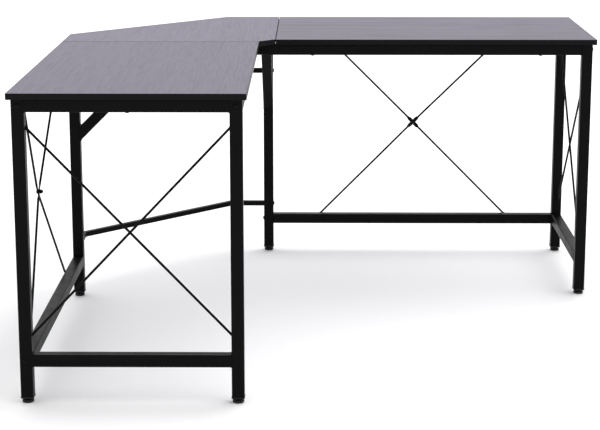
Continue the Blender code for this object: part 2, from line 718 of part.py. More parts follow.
def bolt_through_leg(desk, name, leg, rail, entry, into):
    """Bolt whose head sits at the entry point and whose shank reaches into the rail's end."""
    drill_leg_and_rail(desk, name, leg, rail, entry, into)
    desk.bolt(name, entry, into, TUBE + BOLT_GRIP)


def add_leg_bolts(desk, wing, legs, rails, ties):
    """Bolts of one wing. The wall-side top rail has its holes and no modelled bolts."""
    half = TUBE / 2
    towards_end = direction(wing, 1.0, 0.0, 0.0)
    towards_corner = -towards_end
    end_face = END_ALONG + half
    corner_back = CORNER_ALONG - half
    corner_front = CORNER_ALONG + half
    bolt_through_leg(desk, wing + "_low_rail_end_bolt", legs["end_wall"], rails["bottom"],
                     place(wing, end_face, LEG_ACROSS, LOW_RAIL_HEIGHT), towards_corner)
    bolt_through_leg(desk, wing + "_low_rail_corner_bolt", legs["corner"], rails["bottom"],
                     place(wing, corner_back, LEG_ACROSS, LOW_RAIL_HEIGHT), towards_end)
    bolt_through_leg(desk, wing + "_inner_rail_bolt", legs["end_inner"], rails["inner"],
                     place(wing, end_face, INNER_ACROSS, TOP_RAIL_HEIGHT), towards_corner)
    bolt_through_leg(desk, wing + "_lower_tie_bolt", legs["corner"], ties["lower"],
                     place(wing, corner_front, LEG_ACROSS, LOWER_TIE_HEIGHT), towards_corner)
    bolt_through_leg(desk, wing + "_upper_tie_bolt", legs["corner"], ties["upper"],
                     place(wing, corner_front, LEG_ACROSS, UPPER_TIE_HEIGHT), towards_corner)
    drill_leg_and_rail(desk, wing + "_top_rail_end", legs["end_wall"], rails["top"],
                       place(wing, end_face, LEG_ACROSS, TOP_RAIL_HEIGHT), towards_corner)
    drill_leg_and_rail(desk, wing + "_top_rail_corner", legs["corner"], rails["top"],
                       place(wing, corner_back, LEG_ACROSS, TOP_RAIL_HEIGHT), towards_end)


# ---------------------------------------------------------------- the whole desk
def add_wing(desk, wing, ties):
    add_wing_board(desk, wing)
    legs = {}
    for kind in LEGS:
        legs[kind] = add_leg(desk, wing, kind)
        add_end_cap(desk, wing, kind)
        add_foot(desk, wing, kind)
    rails = {
        "top": add_wall_rail(desk, wing, "top", TOP_RAIL_HEIGHT),
        "bottom": add_wall_rail(desk, wing, "bottom", LOW_RAIL_HEIGHT),
        "inner": add_inner_rail(desk, wing),
    }
    add_end_rail(desk, wing, "top", TOP_RAIL_HEIGHT)
    add_end_rail(desk, wing, "bottom", LOW_RAIL_HEIGHT)
    add_corner_arm(desk, wing)
    add_corner_brace(desk, wing)
    add_end_rods(desk, wing)
    add_wall_rods(desk, wing)
    add_leg_bolts(desk, wing, legs, rails, ties)


def main():
    clear_scene()
    desk = Desk()
    add_corner_board(desk)
    add_corner_connector(desk)
    ties = {
        "upper": add_tie_bar(desk, "upper_tie_bar", UPPER_TIE_HEIGHT),
        "lower": add_tie_bar(desk, "lower_tie_bar", LOWER_TIE_HEIGHT),
    }
    for wing in WINGS:
        add_wing(desk, wing, ties)


main()
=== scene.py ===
"""Corner desk, its looks: laminate boards with edge bands, powder-coated tube, rods and fasteners.

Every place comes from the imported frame. A point on a wing is given in wing axes: how far it lies
along the wall from the corner, how far it stands off the wall, and how high it is. The right
wing runs along +X and the left wing along -Y, so one function turns wing axes into the world's.
"""

import math

import bmesh
import bpy
import numpy as np
from bpy.props import FloatProperty, FloatVectorProperty, PointerProperty, StringProperty
from mathutils import Euler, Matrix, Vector


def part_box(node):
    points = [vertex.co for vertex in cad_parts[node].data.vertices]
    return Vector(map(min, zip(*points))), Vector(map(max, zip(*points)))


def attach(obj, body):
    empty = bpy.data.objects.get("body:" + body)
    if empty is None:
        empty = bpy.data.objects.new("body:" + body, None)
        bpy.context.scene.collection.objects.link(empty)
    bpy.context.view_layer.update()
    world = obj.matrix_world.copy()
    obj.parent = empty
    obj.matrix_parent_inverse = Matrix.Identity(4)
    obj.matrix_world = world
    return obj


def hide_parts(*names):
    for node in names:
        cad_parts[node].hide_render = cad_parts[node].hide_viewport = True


bl_info = {
    "name": "Corner desk",
    "version": (1, 0, 0),
    "blender": (4, 5, 0),
    "location": "View3D > Sidebar > Corner desk",
    "description": "Boards, frame tubes, rods, welds, fasteners and feet of a steel corner desk",
    "category": "Object",
}

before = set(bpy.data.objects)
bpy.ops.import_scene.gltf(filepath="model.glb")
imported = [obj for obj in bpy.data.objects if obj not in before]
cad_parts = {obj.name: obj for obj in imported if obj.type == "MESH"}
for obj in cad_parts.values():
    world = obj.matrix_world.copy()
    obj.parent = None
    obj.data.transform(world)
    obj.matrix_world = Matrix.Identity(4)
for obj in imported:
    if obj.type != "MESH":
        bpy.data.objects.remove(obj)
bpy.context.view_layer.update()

WINGS = ("left", "right")
LEG_KINDS = ("corner", "end_wall", "end_inner")
FRAME_BODY = "frame"
WALL_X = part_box("left_desktop")[0].x
WALL_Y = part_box("right_desktop")[1].y

ALONG, ACROSS, UP = np.eye(3)

# Sizes of the frame that its boxes don't tell, in metres.
TOUCH = 0.0003            # gap between faces that are clamped or welded together
TIE_BEND_RADIUS = 0.022   # of the tie bars' middle line
FLAT_HALF_LENGTH = 0.015  # of a wall rod's flat at the crossing
FLAT_RUN_OUT = 0.010      # over which a flat turns into the round bar
TAB_LENGTH = 0.018
TAB_BEYOND_HOLE = 0.007
BOLT_RADIUS = 0.003
HEX_KEY = 0.004
STUD_RADIUS = 0.004
STUD_CLEARANCE = 0.0004
FOOT_DISC_HEIGHT = 0.008
FOOT_COLLAR_TOP = 0.012

# Sizes of what only the looks have, in metres.
TOP_RAIL_BOLT_LENGTH = 0.040
BORE_RADIUS = 0.0031      # of a washer, and of the ring that closes a cap nut's seat

NEAR = 0.0001             # how close to a plane a vertex counts as lying on it


# ------------------------------------------------------------------ sizes and colours to set
def length(label, description, default, least, most):
    """A length in metres that the user can set."""
    return FloatProperty(name=label, description=description, default=default, min=least, max=most,
                         precision=4, unit="LENGTH")


class DeskSizes(bpy.types.PropertyGroup):
    """Sizes that the frame doesn't hold: edges, roundings, beads and small fasteners."""

    band_thickness: length(
        "Edge band", "Thickness of the plastic band round each board", 0.0013, 0.0003, 0.003)
    band_rounding: length(
        "Band rounding", "Radius trimmed along the band's two long edges", 0.0008, 0.0001, 0.002)
    board_corner: length(
        "Board corner", "Radius of a board's corners, seen from above", 0.002, 0.0005, 0.02)
    tube_wall: length(
        "Tube wall", "Wall of the square frame tube", 0.0015, 0.0008, 0.003)
    tube_rounding: length(
        "Tube rounding", "Outer radius of the frame tube's long edges", 0.003, 0.001, 0.006)
    tie_rounding: length(
        "Tie bar rounding", "Outer radius of the tie bar's long edges", 0.0015, 0.0005, 0.004)
    rod: length(
        "Rod", "Diameter of the brace rods", 0.006, 0.003, 0.012)
    flat_thickness: length(
        "Pressed flat", "Thickness of a wall rod where it is pressed flat", 0.0024, 0.001, 0.005)
    flat_width: length(
        "Flat width", "Width of a wall rod where it is pressed flat", 0.0116, 0.006, 0.02)
    weld: length(
        "Weld", "Radius of the weld beads on the square tube", 0.0021, 0.001, 0.004)
    weld_ripple: length(
        "Weld ripple", "Distance from one ripple of a weld to the next", 0.0024, 0.001, 0.006)
    head: length(
        "Bolt head", "Diameter of a button head", 0.012, 0.008, 0.02)
    head_height: length(
        "Head height", "Height of a button head", 0.003, 0.0015, 0.006)
    screw_head: length(
        "Screw head", "Diameter of the wood screws' washer heads", 0.0095, 0.006, 0.014)


class DeskColours(bpy.types.PropertyGroup):
    """Colours of the finishes, as sRGB hex values."""

    laminate: StringProperty(
        name="Laminate", description="Middle colour of the grey wood-grain laminate",
        default="#5B5666")
    laminate_dark: StringProperty(
        name="Laminate grain", description="Colour of the laminate's dark grain lines",
        default="#443F4D")
    band: StringProperty(
        name="Edge band", description="Colour of the black edge band", default="#0B0B0D")
    coat: StringProperty(
        name="Powder coat", description="Colour of the frame's powder coat", default="#0A0A0B")
    plastic: StringProperty(
        name="Plastic", description="Colour of the end caps and feet", default="#0C0C0D")
    plating: StringProperty(
        name="Plating", description="Colour of the bolts' black zinc plating", default="#141416")
    floor: StringProperty(
        name="Floor", description="Colour of the studio floor", default="#F9F9FA")


class StageSettings(bpy.types.PropertyGroup):
    """The camera and the lights of the studio."""

    camera_place: FloatVectorProperty(
        name="Camera", description="Where the camera stands", default=(-0.0400, -4.5717, 1.3661),
        subtype="TRANSLATION")
    camera_tilt: FloatProperty(
        name="Tilt", description="How far the camera looks down", default=math.radians(12.314),
        subtype="ANGLE")
    camera_turn: FloatProperty(
        name="Turn", description="How far the camera is turned to its left",
        default=math.radians(0.461), subtype="ANGLE")
    camera_rise: FloatProperty(
        name="Rise", description="Vertical shift of the lens", default=-0.05)
    lens: FloatProperty(
        name="Lens", description="Focal length in millimetres", default=102.05, min=10.0)
    sky: FloatProperty(
        name="Sky", description="Strength of the even white light from all sides", default=0.80,
        min=0.0)
    key: FloatProperty(
        name="Key", description="Strength of the soft light from the upper right", default=1.4,
        min=0.0)
    back: FloatProperty(
        name="Back", description="Strength of the soft light from behind", default=1.2, min=0.0)


def sizes():
    return bpy.context.scene.desk_sizes


def colours():
    return bpy.context.scene.desk_colours


# ------------------------------------------------------------------ wing axes and boxes
def to_world(wing, points):
    """World places of points given as (along, across, height)."""
    along, across, height = np.moveaxis(np.asarray(points, float), -1, 0)
    if wing == "right":
        return np.stack((WALL_X + along, WALL_Y - across, height), -1)
    return np.stack((WALL_X + across, WALL_Y - along, height), -1)


def wing_box(wing, kind):
    """Lowest and highest corner of a wing's CAD node, in wing axes."""
    low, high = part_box(wing + "_" + kind)
    if wing == "right":
        return (np.array((low.x - WALL_X, WALL_Y - high.y, low.z)),
                np.array((high.x - WALL_X, WALL_Y - low.y, high.z)))
    return (np.array((WALL_Y - high.y, low.x - WALL_X, low.z)),
            np.array((WALL_Y - low.y, high.x - WALL_X, high.z)))


def node_points(name):
    """Vertices of a CAD node, one a row."""
    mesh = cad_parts[name].data
    points = np.empty(len(mesh.vertices) * 3)
    mesh.vertices.foreach_get("co", points)
    return points.reshape(-1, 3)


# ------------------------------------------------------------------ surfaces
class Surface:
    """Gathers grids of points into one mesh."""

    def __init__(self):
        self.points = []
        self.faces = []
        self.count = 0

    def grid(self, points, wrap_rows=False):
        """Adds rows of points that each run round the shape, joined row to row by quads.

        Quad (r, c) joins points (r, c), (r, c+1), (r+1, c+1) and (r+1, c). The columns always
        close on themselves. The rows close too if wrap_rows is set, and otherwise the first and
        the last row are each filled by one face.
        """
        rows, columns = points.shape[:2]
        row = np.arange(rows if wrap_rows else rows - 1)[:, None]
        column = np.arange(columns)[None, :]
        below = row * columns
        above = (row + 1) % rows * columns
        after = (column + 1) % columns
        quads = np.stack(np.broadcast_arrays(below + column, below + after, above + after,
                                             above + column), -1).reshape(-1, 4)
        self.faces += (quads + self.count).tolist()
        if not wrap_rows:
            first = self.count + np.arange(columns)
            self.faces.append(first[::-1].tolist())
            self.faces.append((first + (rows - 1) * columns).tolist())
        self.points.append(points.reshape(-1, 3))
        self.count += rows * columns

    def finish(self, name, material, slot, body=FRAME_BODY, replaces=(), sharp=35.0):
        """Makes the piece, turns its faces outwards, and puts it on its body."""
        mesh = bpy.data.meshes.new(name)
        mesh.from_pydata(np.concatenate(self.points).tolist(), [], self.faces)
        work = bmesh.new()
        work.from_mesh(mesh)
        bmesh.ops.recalc_face_normals(work, faces=work.faces)
        work.to_mesh(mesh)
        work.free()
        mesh.shade_smooth()
        mesh.set_sharp_from_angle(angle=math.radians(sharp))
        mesh.materials.append(material)
        piece = bpy.data.objects.new(name, mesh)
        bpy.context.scene.collection.objects.link(piece)
        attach(piece, body)
        if replaces:
            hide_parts(*replaces)


def add_piece(name, node, grid, maker, slot, wrap_rows=False, **settings):
    """One piece made of one grid, which stands for one CAD node."""
    piece = Surface()
    piece.grid(grid, wrap_rows=wrap_rows)
    piece.finish(name, finish_named(maker), slot, replaces=(node,), **settings)


def axes_towards(start, end, side):
    """Three axes, one a row: the last from start to end, the first as near to side as it can be."""
    z_axis = (end - start) / np.linalg.norm(end - start)
    y_axis = np.cross(z_axis, side)
    y_axis /= np.linalg.norm(y_axis)
    return np.array((np.cross(y_axis, z_axis), y_axis, z_axis))


def rounded_rectangle(half_width, half_depth, radius, segments=6):
    """Outline of a rectangle with round corners, as points (u, v) turning from +u to +v.

    A corner is a quarter circle: centre + radius * (cos t, sin t). One more point lies on each
    flat just outside the arc, so that smooth shading leaves the flats flat.
    """
    t = np.linspace(0.0, math.pi / 2, segments + 1)
    ease = radius * 0.12
    points = []
    for quarter, (u_sign, v_sign) in enumerate(((1, 1), (-1, 1), (-1, -1), (1, -1))):
        turn = t + quarter * math.pi / 2
        arc = np.stack((np.cos(turn), np.sin(turn)), -1) * radius
        arc += (u_sign * (half_width - radius), v_sign * (half_depth - radius))
        into = np.array((-math.sin(turn[0]), math.cos(turn[0])))
        out = np.array((-math.sin(turn[-1]), math.cos(turn[-1])))
        points += [arc[:1] - into * ease, arc, arc[-1:] + out * ease]
    return np.concatenate(points)


def evenly_spaced(outline, count):
    """The closed outline walked round in equal steps, as count points (u, v)."""
    closed = np.concatenate((outline, outline[:1]))
    distance = np.concatenate(([0.0], np.cumsum(np.linalg.norm(np.diff(closed, axis=0), axis=1))))
    at = np.linspace(0.0, distance[-1], count, endpoint=False)
    return np.stack([np.interp(at, distance, closed[:, axis]) for axis in (0, 1)], -1)


def cut_ring(outline, end, axes, normal):
    """Ring of an outline carried along the last axis, where the plane through end cuts it.

    A point is end + u*x + v*y + t*z, and t is what brings it onto the plane square to normal.
    """
    u, v = outline[:, :1], outline[:, 1:]
    off = (u * (axes[0] @ normal) + v * (axes[1] @ normal)) / (axes[2] @ normal)
    return end + u * axes[0] + v * axes[1] - off * axes[2]


def tube_grid(start, end, side, half, radius, wall, start_cut=None, end_cut=None):
    """Rows of a square tube with an open bore: outside there, back along the bore."""
    start, end = np.asarray(start, float), np.asarray(end, float)
    axes = axes_towards(start, end, side)
    outer = rounded_rectangle(half, half, radius)
    inner = rounded_rectangle(half - wall, half - wall, max(radius - wall, wall * 0.3))
    start_cut = axes[2] if start_cut is None else start_cut
    end_cut = axes[2] if end_cut is None else end_cut
    return np.stack((cut_ring(outer, start, axes, start_cut), cut_ring(outer, end, axes, end_cut),
                     cut_ring(inner, end, axes, end_cut), cut_ring(inner, start, axes, start_cut)))


def turned_grid(profile, centre, axis, sides, recess_rows=0, recess=None):
    """Rows of a turned shape: at each profile point (r, h) a circle of radius r at height h.

    In the first recess_rows rows the radius is r * recess(angle), the outline of the driver's
    socket, so that its wall stands in the head.
    """
    profile = np.asarray(profile, float)
    helper = UP if abs(axis[2]) < 0.9 else ALONG
    axes = axes_towards(centre, centre + axis, helper)
    angle = np.linspace(0.0, 2 * math.pi, sides, endpoint=False)
    radius = np.repeat(profile[:, :1], sides, axis=1)
    if recess_rows:
        radius[:recess_rows] *= recess(angle)
    ring = np.cos(angle)[:, None] * axes[0] + np.sin(angle)[:, None] * axes[1]
    return centre + radius[:, :, None] * ring[None] + profile[:, 1, None, None] * axes[2]


def hexagon(angle):
    """Radius of a hexagon whose flats are 1 from its middle: 1 / cos(angle from a flat)."""
    sixth = math.pi / 3
    return 1.0 / np.cos((angle + sixth / 2) % sixth - sixth / 2)


def cross_slot(angle):
    """Radius of a cross-shaped slot, 1 at its tips: the arm's half width over the sine, at most 1."""
    least = np.minimum(np.abs(np.sin(angle)), np.abs(np.cos(angle)))
    return np.minimum(1.0, 0.30 / np.maximum(least, 0.30))


def bead_grid(path, radius, ripple, closed, sides=8):
    """Rows of a weld bead: a circle carried along a path, swelling once for each ripple.

    Its radius is radius * (0.92 + 0.10 * |sin(pi * s / ripple)|) at the distance s.
    """
    path = np.asarray(path, float)
    if closed:
        before, after = np.roll(path, 1, axis=0), np.roll(path, -1, axis=0)
    else:
        before = np.concatenate((path[:1], path[:-1]))
        after = np.concatenate((path[1:], path[-1:]))
    tangent = after - before
    tangent /= np.linalg.norm(tangent, axis=1)[:, None]
    steps = np.linalg.norm(np.diff(path, axis=0), axis=1)
    distance = np.concatenate(([0.0], np.cumsum(steps)))
    swell = 0.92 + 0.10 * np.abs(np.sin(math.pi * distance / ripple))
    if not closed:
        from_end = np.minimum(distance, distance[-1] - distance)
        swell *= np.sqrt(np.clip(from_end / radius, 0.05, 1.0))
    middle = path.mean(axis=0)
    side = path - middle
    side -= tangent * np.sum(side * tangent, axis=1)[:, None]
    side /= np.linalg.norm(side, axis=1)[:, None]
    other = np.cross(tangent, side)
    angle = np.linspace(0.0, 2 * math.pi, sides, endpoint=False)
    ring = (np.cos(angle)[None, :, None] * side[:, None] + np.sin(angle)[None, :, None] * other[:, None])
    return path[:, None] + radius * swell[:, None, None] * ring


# ------------------------------------------------------------------ materials
def linear(hex_colour):
    """Linear RGBA of an sRGB hex colour."""
    values = np.array([int(hex_colour[i:i + 2], 16) for i in (1, 3, 5)]) / 255.0
    values = np.where(values <= 0.04045, values / 12.92, ((values + 0.055) / 1.055) ** 2.4)
    return (*values.tolist(), 1.0)


def shade(colour, factor):
    """The colour made lighter or darker by a factor."""
    return tuple(min(1.0, value * factor) for value in colour[:3]) + (1.0,)


def grey(value):
    """A grey between 0, black, and 1, white."""
    return (value, value, value, 1.0)


class Finish:
    """A new material and a short way to add a node with its settings and links."""

    def __init__(self, name, specular=0.5, metallic=0.0):
        self.material = bpy.data.materials.new(name)
        self.material.use_nodes = True
        self.tree = self.material.node_tree
        self.shader = self.tree.nodes["Principled BSDF"]
        self.set(self.shader, "Metallic", metallic)
        self.set(self.shader, "Specular IOR Level", specular)
        self.place = (self.add("TexCoord"), "Object")

    def add(self, kind, inputs=None, stops=(), to=None, **settings):
        """Adds one node with its settings and links.

        An input's value is a constant, or a (node, output) pair to link. stops are the (place,
        colour) stops of a colour ramp, and to is an (output, shader input) pair to link.
        """
        node = self.tree.nodes.new("ShaderNode" + kind)
        for key, value in settings.items():
            setattr(node, key, value)
        for key, value in (inputs or {}).items():
            self.set(node, key, value)
        for index, (place, colour) in enumerate(stops):
            element = node.color_ramp.elements[index]
            element.position = place
            element.color = colour
        if to:
            self.set(self.shader, to[1], (node, to[0]))
        return node

    def set(self, node, key, value):
        if isinstance(value, tuple) and isinstance(value[0], bpy.types.Node):
            self.tree.links.new(value[0].outputs[value[1]], node.inputs[key])
        else:
            node.inputs[key].default_value = value

    def mottle(self, pattern, dark, lighter, places, dull, spread=(0.0, 1.0)):
        """Colour and roughness that both follow one pattern.

        places are where the pattern is dark and where it is lighter, and dull holds the
        roughness at the two ends of the pattern's spread.
        """
        self.add("ValToRGB", {"Fac": pattern}, tuple(zip(places, (dark, lighter))),
                 ("Color", "Base Color"))
        self.add("MapRange", {"Value": pattern, "From Min": spread[0], "From Max": spread[1],
                              "To Min": dull[0], "To Max": dull[1]}, to=("Result", "Roughness"))


def grey_wood_laminate(name, grain_axis, middle, tone, contrast):
    """Melamine laminate printed with a fine grey wood grain and pressed with a light texture.

    Melamine is a hard clear resin, so the gloss is even and soft, and the pores only just dull
    it. The grain runs along one axis: its fibres are 45 times as long as they are wide.
    """
    finish = Finish(name, specular=0.20)
    pore_width, streak_width, figure_width = 0.0025, 0.009, 0.055  # pores drawn coarse enough to show
    fibre_length = 45
    # tone lightens or darkens this board's whole copy of the laminate: painted light and shade for how
    # light and sheen fall on this board
    middle_tone = shade(linear(colours().laminate), tone)
    dark_tone = shade(linear(colours().laminate_dark), tone)
    light_tone = shade(middle_tone, 1.0 + 0.16 * contrast)

    def grain(width, detail, roughness, distortion):
        scale = [1.0 / width] * 3
        scale[grain_axis] *= 1 / fibre_length
        mapping = finish.add("Mapping", {"Vector": finish.place, "Location": middle, "Scale": scale})
        noise = finish.add("TexNoise", {"Vector": (mapping, "Vector"), "Scale": 1.0, "Detail": detail,
                                        "Roughness": roughness, "Distortion": distortion})
        return noise, "Fac"

    def print_over(base, pattern, places, strength):
        """The dark ink laid over a colour, where a pattern passes from the first place to the last."""
        mask = finish.add("ValToRGB", {"Fac": pattern},
                          tuple(zip(places, (grey(0.0), grey(strength * contrast)))))
        inked = finish.add("Mix", {"Factor": (mask, "Color"), "A": base, "B": dark_tone},
                           data_type="RGBA")
        return inked, "Result"

    figure = grain(figure_width, 3.0, 0.55, 0.8)
    streaks = grain(streak_width, 4.0, 0.60, 0.3)
    pores = grain(pore_width, 3.0, 0.65, 0.0)
    finish.add("MapRange", {"Value": pores, "From Min": 0.3, "From Max": 0.8, "To Min": 0.44,
                            "To Max": 0.58}, to=("Result", "Roughness"))
    base = finish.add("ValToRGB", {"Fac": figure}, ((0.30, middle_tone), (0.72, light_tone)))
    streaked = print_over((base, "Color"), streaks, (0.48, 0.74), 0.8)
    finish.set(finish.shader, "Base Color", print_over(streaked, pores, (0.54, 0.72), 0.7))
    finish.add("Bump", {"Height": pores, "Distance": 0.00012, "Strength": 0.5},
               to=("Normal", "Normal"))
    return finish.material


def black_abs_edge_band():
    """Extruded ABS band: smooth and satin, with faint lines along its run from the die.

    The lines are 1.1 mm apart and 250 mm long.
    """
    finish = Finish("black_abs_edge_band", specular=0.08)
    line_pitch, line_length = 1 / 900, 0.25
    scale = (1 / line_length, 1 / line_length, 1 / line_pitch)
    mapping = finish.add("Mapping", {"Vector": finish.place, "Scale": scale})
    lines = finish.add("TexNoise", {"Vector": (mapping, "Vector"), "Scale": 1.0, "Detail": 2.0})
    dark = linear(colours().band)
    finish.mottle((lines, "Fac"), dark, shade(dark, 1.5), (0.3, 0.8), (0.28, 0.42))
    finish.add("Bump", {"Height": (lines, "Fac"), "Distance": 0.00004, "Strength": 0.5},
               to=("Normal", "Normal"))
    return finish.material


def black_powder_coat():
    """Polyester powder coat baked on steel: satin black with a fine orange peel.

    The peel's cells are about 0.8 mm across and are drawn at 1.6 mm, so that they just show.
    A slower change of tone stands for the uneven build of the powder.
    """
    finish = Finish("black_powder_coat", specular=0.05)
    peel_cell, build_cell = 0.0016, 0.045
    peel = finish.add("TexNoise", {"Vector": finish.place, "Scale": 1 / peel_cell, "Detail": 2.0,
                                   "Roughness": 0.5})
    build = finish.add("TexNoise", {"Vector": finish.place, "Scale": 1 / build_cell, "Detail": 3.0,
                                    "Roughness": 0.6})
    dark = linear(colours().coat)
    finish.mottle((build, "Fac"), dark, shade(dark, 1.35), (0.35, 0.70), (0.36, 0.46), (0.3, 0.7))
    finish.add("Bump", {"Height": (peel, "Fac"), "Distance": 0.00012, "Strength": 0.6},
               to=("Normal", "Normal"))
    return finish.material


def moulded_black_polypropylene():
    """Injection-moulded polypropylene with a spark-eroded grain of about 0.5 mm, drawn at 0.9 mm.

    Flow marks about 11 mm across change its tone a little.
    """
    finish = Finish("moulded_black_polypropylene", specular=0.30)
    grain_size, flow_mark = 0.0009, 1 / 90
    grain = finish.add("TexVoronoi", {"Vector": finish.place, "Scale": 1 / grain_size})
    flow = finish.add("TexNoise", {"Vector": finish.place, "Scale": 1 / flow_mark, "Detail": 3.0})
    dark = linear(colours().plastic)
    finish.mottle((flow, "Fac"), dark, shade(dark, 1.6), (0.3, 0.75), (0.46, 0.60))
    finish.add("Bump", {"Height": (grain, "Distance"), "Distance": 0.00008, "Strength": 0.5},
               to=("Normal", "Normal"))
    return finish.material


def black_zinc_plated_steel():
    """Zinc plating passivated black: dark metal, clouded by the bath in spots of about 2.4 mm."""
    finish = Finish("black_zinc_plated_steel", metallic=1.0)
    cloud_size = 1 / 420
    cloud = finish.add("TexNoise", {"Vector": finish.place, "Scale": 1 / cloud_size, "Detail": 4.0})
    dark = linear(colours().plating)
    finish.mottle((cloud, "Fac"), dark, shade(dark, 1.7), (0.3, 0.75), (0.28, 0.46))
    finish.add("Bump", {"Height": (cloud, "Fac"), "Distance": 0.00003, "Strength": 0.4},
               to=("Normal", "Normal"))
    return finish.material


def studio_floor_paper():
    """Matt white background paper, with a tone that wanders a little over 1.25 metres."""
    finish = Finish("studio_floor_paper", specular=0.1)
    wander = 1.25
    cloud = finish.add("TexNoise", {"Vector": finish.place, "Scale": 1 / wander, "Detail": 2.0})
    pale = linear(colours().floor)
    finish.add("ValToRGB", {"Fac": (cloud, "Fac")}, ((0.35, pale), (0.65, shade(pale, 1.02))),
               ("Color", "Base Color"))
    finish.set(finish.shader, "Roughness", 0.9)
    return finish.material


def finish_named(maker):
    """The material that a maker function makes, made once."""
    found = bpy.data.materials.get(maker.__name__)
    return found if found else maker()


# ------------------------------------------------------------------ boards
def round_corners(outline, radius, segments=4):
    """Outline (n, 2) with each corner replaced by an arc of its radius.

    With the unit edge directions a before a corner and b after it, the arc starts
    radius * tan(turn / 2) before the corner, and turns about start + side * radius.
    """
    points = []
    count = len(outline)
    for index in range(count):
        corner = outline[index]
        a = corner - outline[index - 1]
        b = outline[(index + 1) % count] - corner
        room = 0.45 * min(np.linalg.norm(a), np.linalg.norm(b))
        a, b = a / np.linalg.norm(a), b / np.linalg.norm(b)
        turn = math.atan2(a[0] * b[1] - a[1] * b[0], a @ b)
        fitted = min(radius, room / math.tan(abs(turn) / 2))
        start = corner - a * fitted * math.tan(abs(turn) / 2)
        side = np.array((-a[1], a[0])) * math.copysign(1.0, turn)
        t = np.linspace(0.0, turn, segments + 1)[:, None]
        spoke = -side * fitted
        turned = np.concatenate((spoke[0] * np.cos(t) - spoke[1] * np.sin(t),
                                 spoke[0] * np.sin(t) + spoke[1] * np.cos(t)), axis=1)
        points.append(start + side * fitted + turned)
    return np.concatenate(points)


def offset_outline(outline, inset):
    """Outline moved inwards: each point goes along its mitre, inset / cos(half turn) far."""
    a = outline - np.roll(outline, 1, axis=0)
    b = np.roll(outline, -1, axis=0) - outline
    a /= np.linalg.norm(a, axis=1)[:, None]
    b /= np.linalg.norm(b, axis=1)[:, None]
    normal_a = np.stack((-a[:, 1], a[:, 0]), -1)
    normal_b = np.stack((-b[:, 1], b[:, 0]), -1)
    mitre = normal_a + normal_b
    mitre /= np.sum(mitre * normal_a, axis=1)[:, None]
    return outline + inset * mitre


def board_outlines():
    """Each board's outline in world axes, counter-clockwise from above.

    How much of the corner board's outer corner is cut off, and how far its inner chamfer goes,
    is read from its node's vertices.
    """
    outlines = {}
    for wing in WINGS:
        low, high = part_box(wing + "_desktop")
        outlines[wing + "_desktop"] = np.array(((low.x, low.y), (high.x, low.y), (high.x, high.y),
                                                (low.x, high.y)))
    low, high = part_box("corner_desktop")
    points = node_points("corner_desktop")
    top = points[points[:, 2] > high.z - NEAR]
    on_back = top[top[:, 1] > high.y - NEAR]
    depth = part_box("left_desktop")[1].x - low.x
    on_left = top[top[:, 0] < low.x + NEAR]
    on_inner = top[np.abs(top[:, 0] - low.x - depth) < NEAR]
    clip = on_back[:, 0].min() - low.x
    near = on_inner[:, 1].max() - low.y
    assert abs(clip - (high.y - on_left[:, 1].max())) < 0.001, "the corner is cut off unevenly"
    outlines["corner_desktop"] = np.array((
        (low.x, low.y), (low.x + depth, low.y), (low.x + depth, low.y + near),
        (high.x - near, high.y - depth), (high.x, high.y - depth), (high.x, high.y),
        (low.x + clip, high.y), (low.x, high.y - clip)))
    return outlines


def add_board(name, outline, material):
    """Laminated panel and the band round it, whose two long edges are trimmed round."""
    low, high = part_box(name)
    band = sizes().band_thickness
    rounding = sizes().band_rounding
    outer = round_corners(outline, sizes().board_corner)
    inner = offset_outline(outer, band)

    panel = Surface()
    rows = [np.column_stack((inner, np.full(len(inner), height))) for height in (low.z, high.z)]
    panel.grid(np.array(rows))
    panel.finish(name + "_panel", material, "board", replaces=(name,))

    t = np.linspace(0.0, math.pi / 2, 5)
    ease = rounding * 0.15
    toward_edge, from_edge = rounding * (1 - np.sin(t)), rounding * (1 - np.cos(t))
    section = [(band, high.z), *zip(toward_edge, high.z - from_edge)]
    section += [(0.0, high.z - rounding - ease), (0.0, low.z + rounding + ease)]
    section += [*zip(from_edge, low.z + toward_edge), (band, low.z)]
    rows = [np.column_stack((offset_outline(outer, inset), np.full(len(outer), height)))
            for inset, height in section]
    strip = Surface()
    strip.grid(np.array(rows), wrap_rows=True)
    strip.finish(name + "_edge_band", finish_named(black_abs_edge_band), "board", sharp=50.0)


# How each board's laminate lies and looks: the axis its grain runs along, the place in the
# pattern that it is cut from, its tone and its contrast. The tone is painted light and shade:
# it makes the one laminate lighter on the corner board than on the two wings, as light and
# sheen fall on them.
BOARD_LOOKS = {
    "left": (1, (3.1, 0.4, 0.0), 1.06, 0.5),
    "corner": (1, (9.7, 5.2, 0.0), 1.22, 0.6),
    "right": (0, (1.3, 7.9, 0.0), 1.04, 1.6),
}


class DESK_OT_boards(bpy.types.Operator):
    """Add the three laminated boards with their black edge bands"""

    bl_idname = "corner_desk.boards"
    bl_label = "Boards"

    def execute(self, context):
        outlines = board_outlines()
        finishes = {side: grey_wood_laminate("grey_laminate_" + side, *look)
                    for side, look in BOARD_LOOKS.items()}
        for name, outline in outlines.items():
            add_board(name, outline, finishes[name.removesuffix("_desktop")])
        return {"FINISHED"}


# ------------------------------------------------------------------ square tubes
def finish_tube(wing, kind, grid):
    """Makes a wing's tube from its rows, which are in wing axes."""
    node = wing + "_" + kind
    add_piece(node + "_tube", node, to_world(wing, grid), black_powder_coat, "steel", wrap_rows=True)


def tube_in_box(wing, kind, axis):
    """Straight tube that fills a node's box along one wing axis."""
    low, high = wing_box(wing, kind)
    middle = (low + high) / 2
    start, end = middle.copy(), middle.copy()
    start[axis], end[axis] = low[axis], high[axis]
    half = (high[axis - 1] - low[axis - 1]) / 2
    side = UP if axis != 2 else ALONG
    finish_tube(wing, kind, tube_grid(start, end, side, half, sizes().tube_rounding,
                                      sizes().tube_wall))


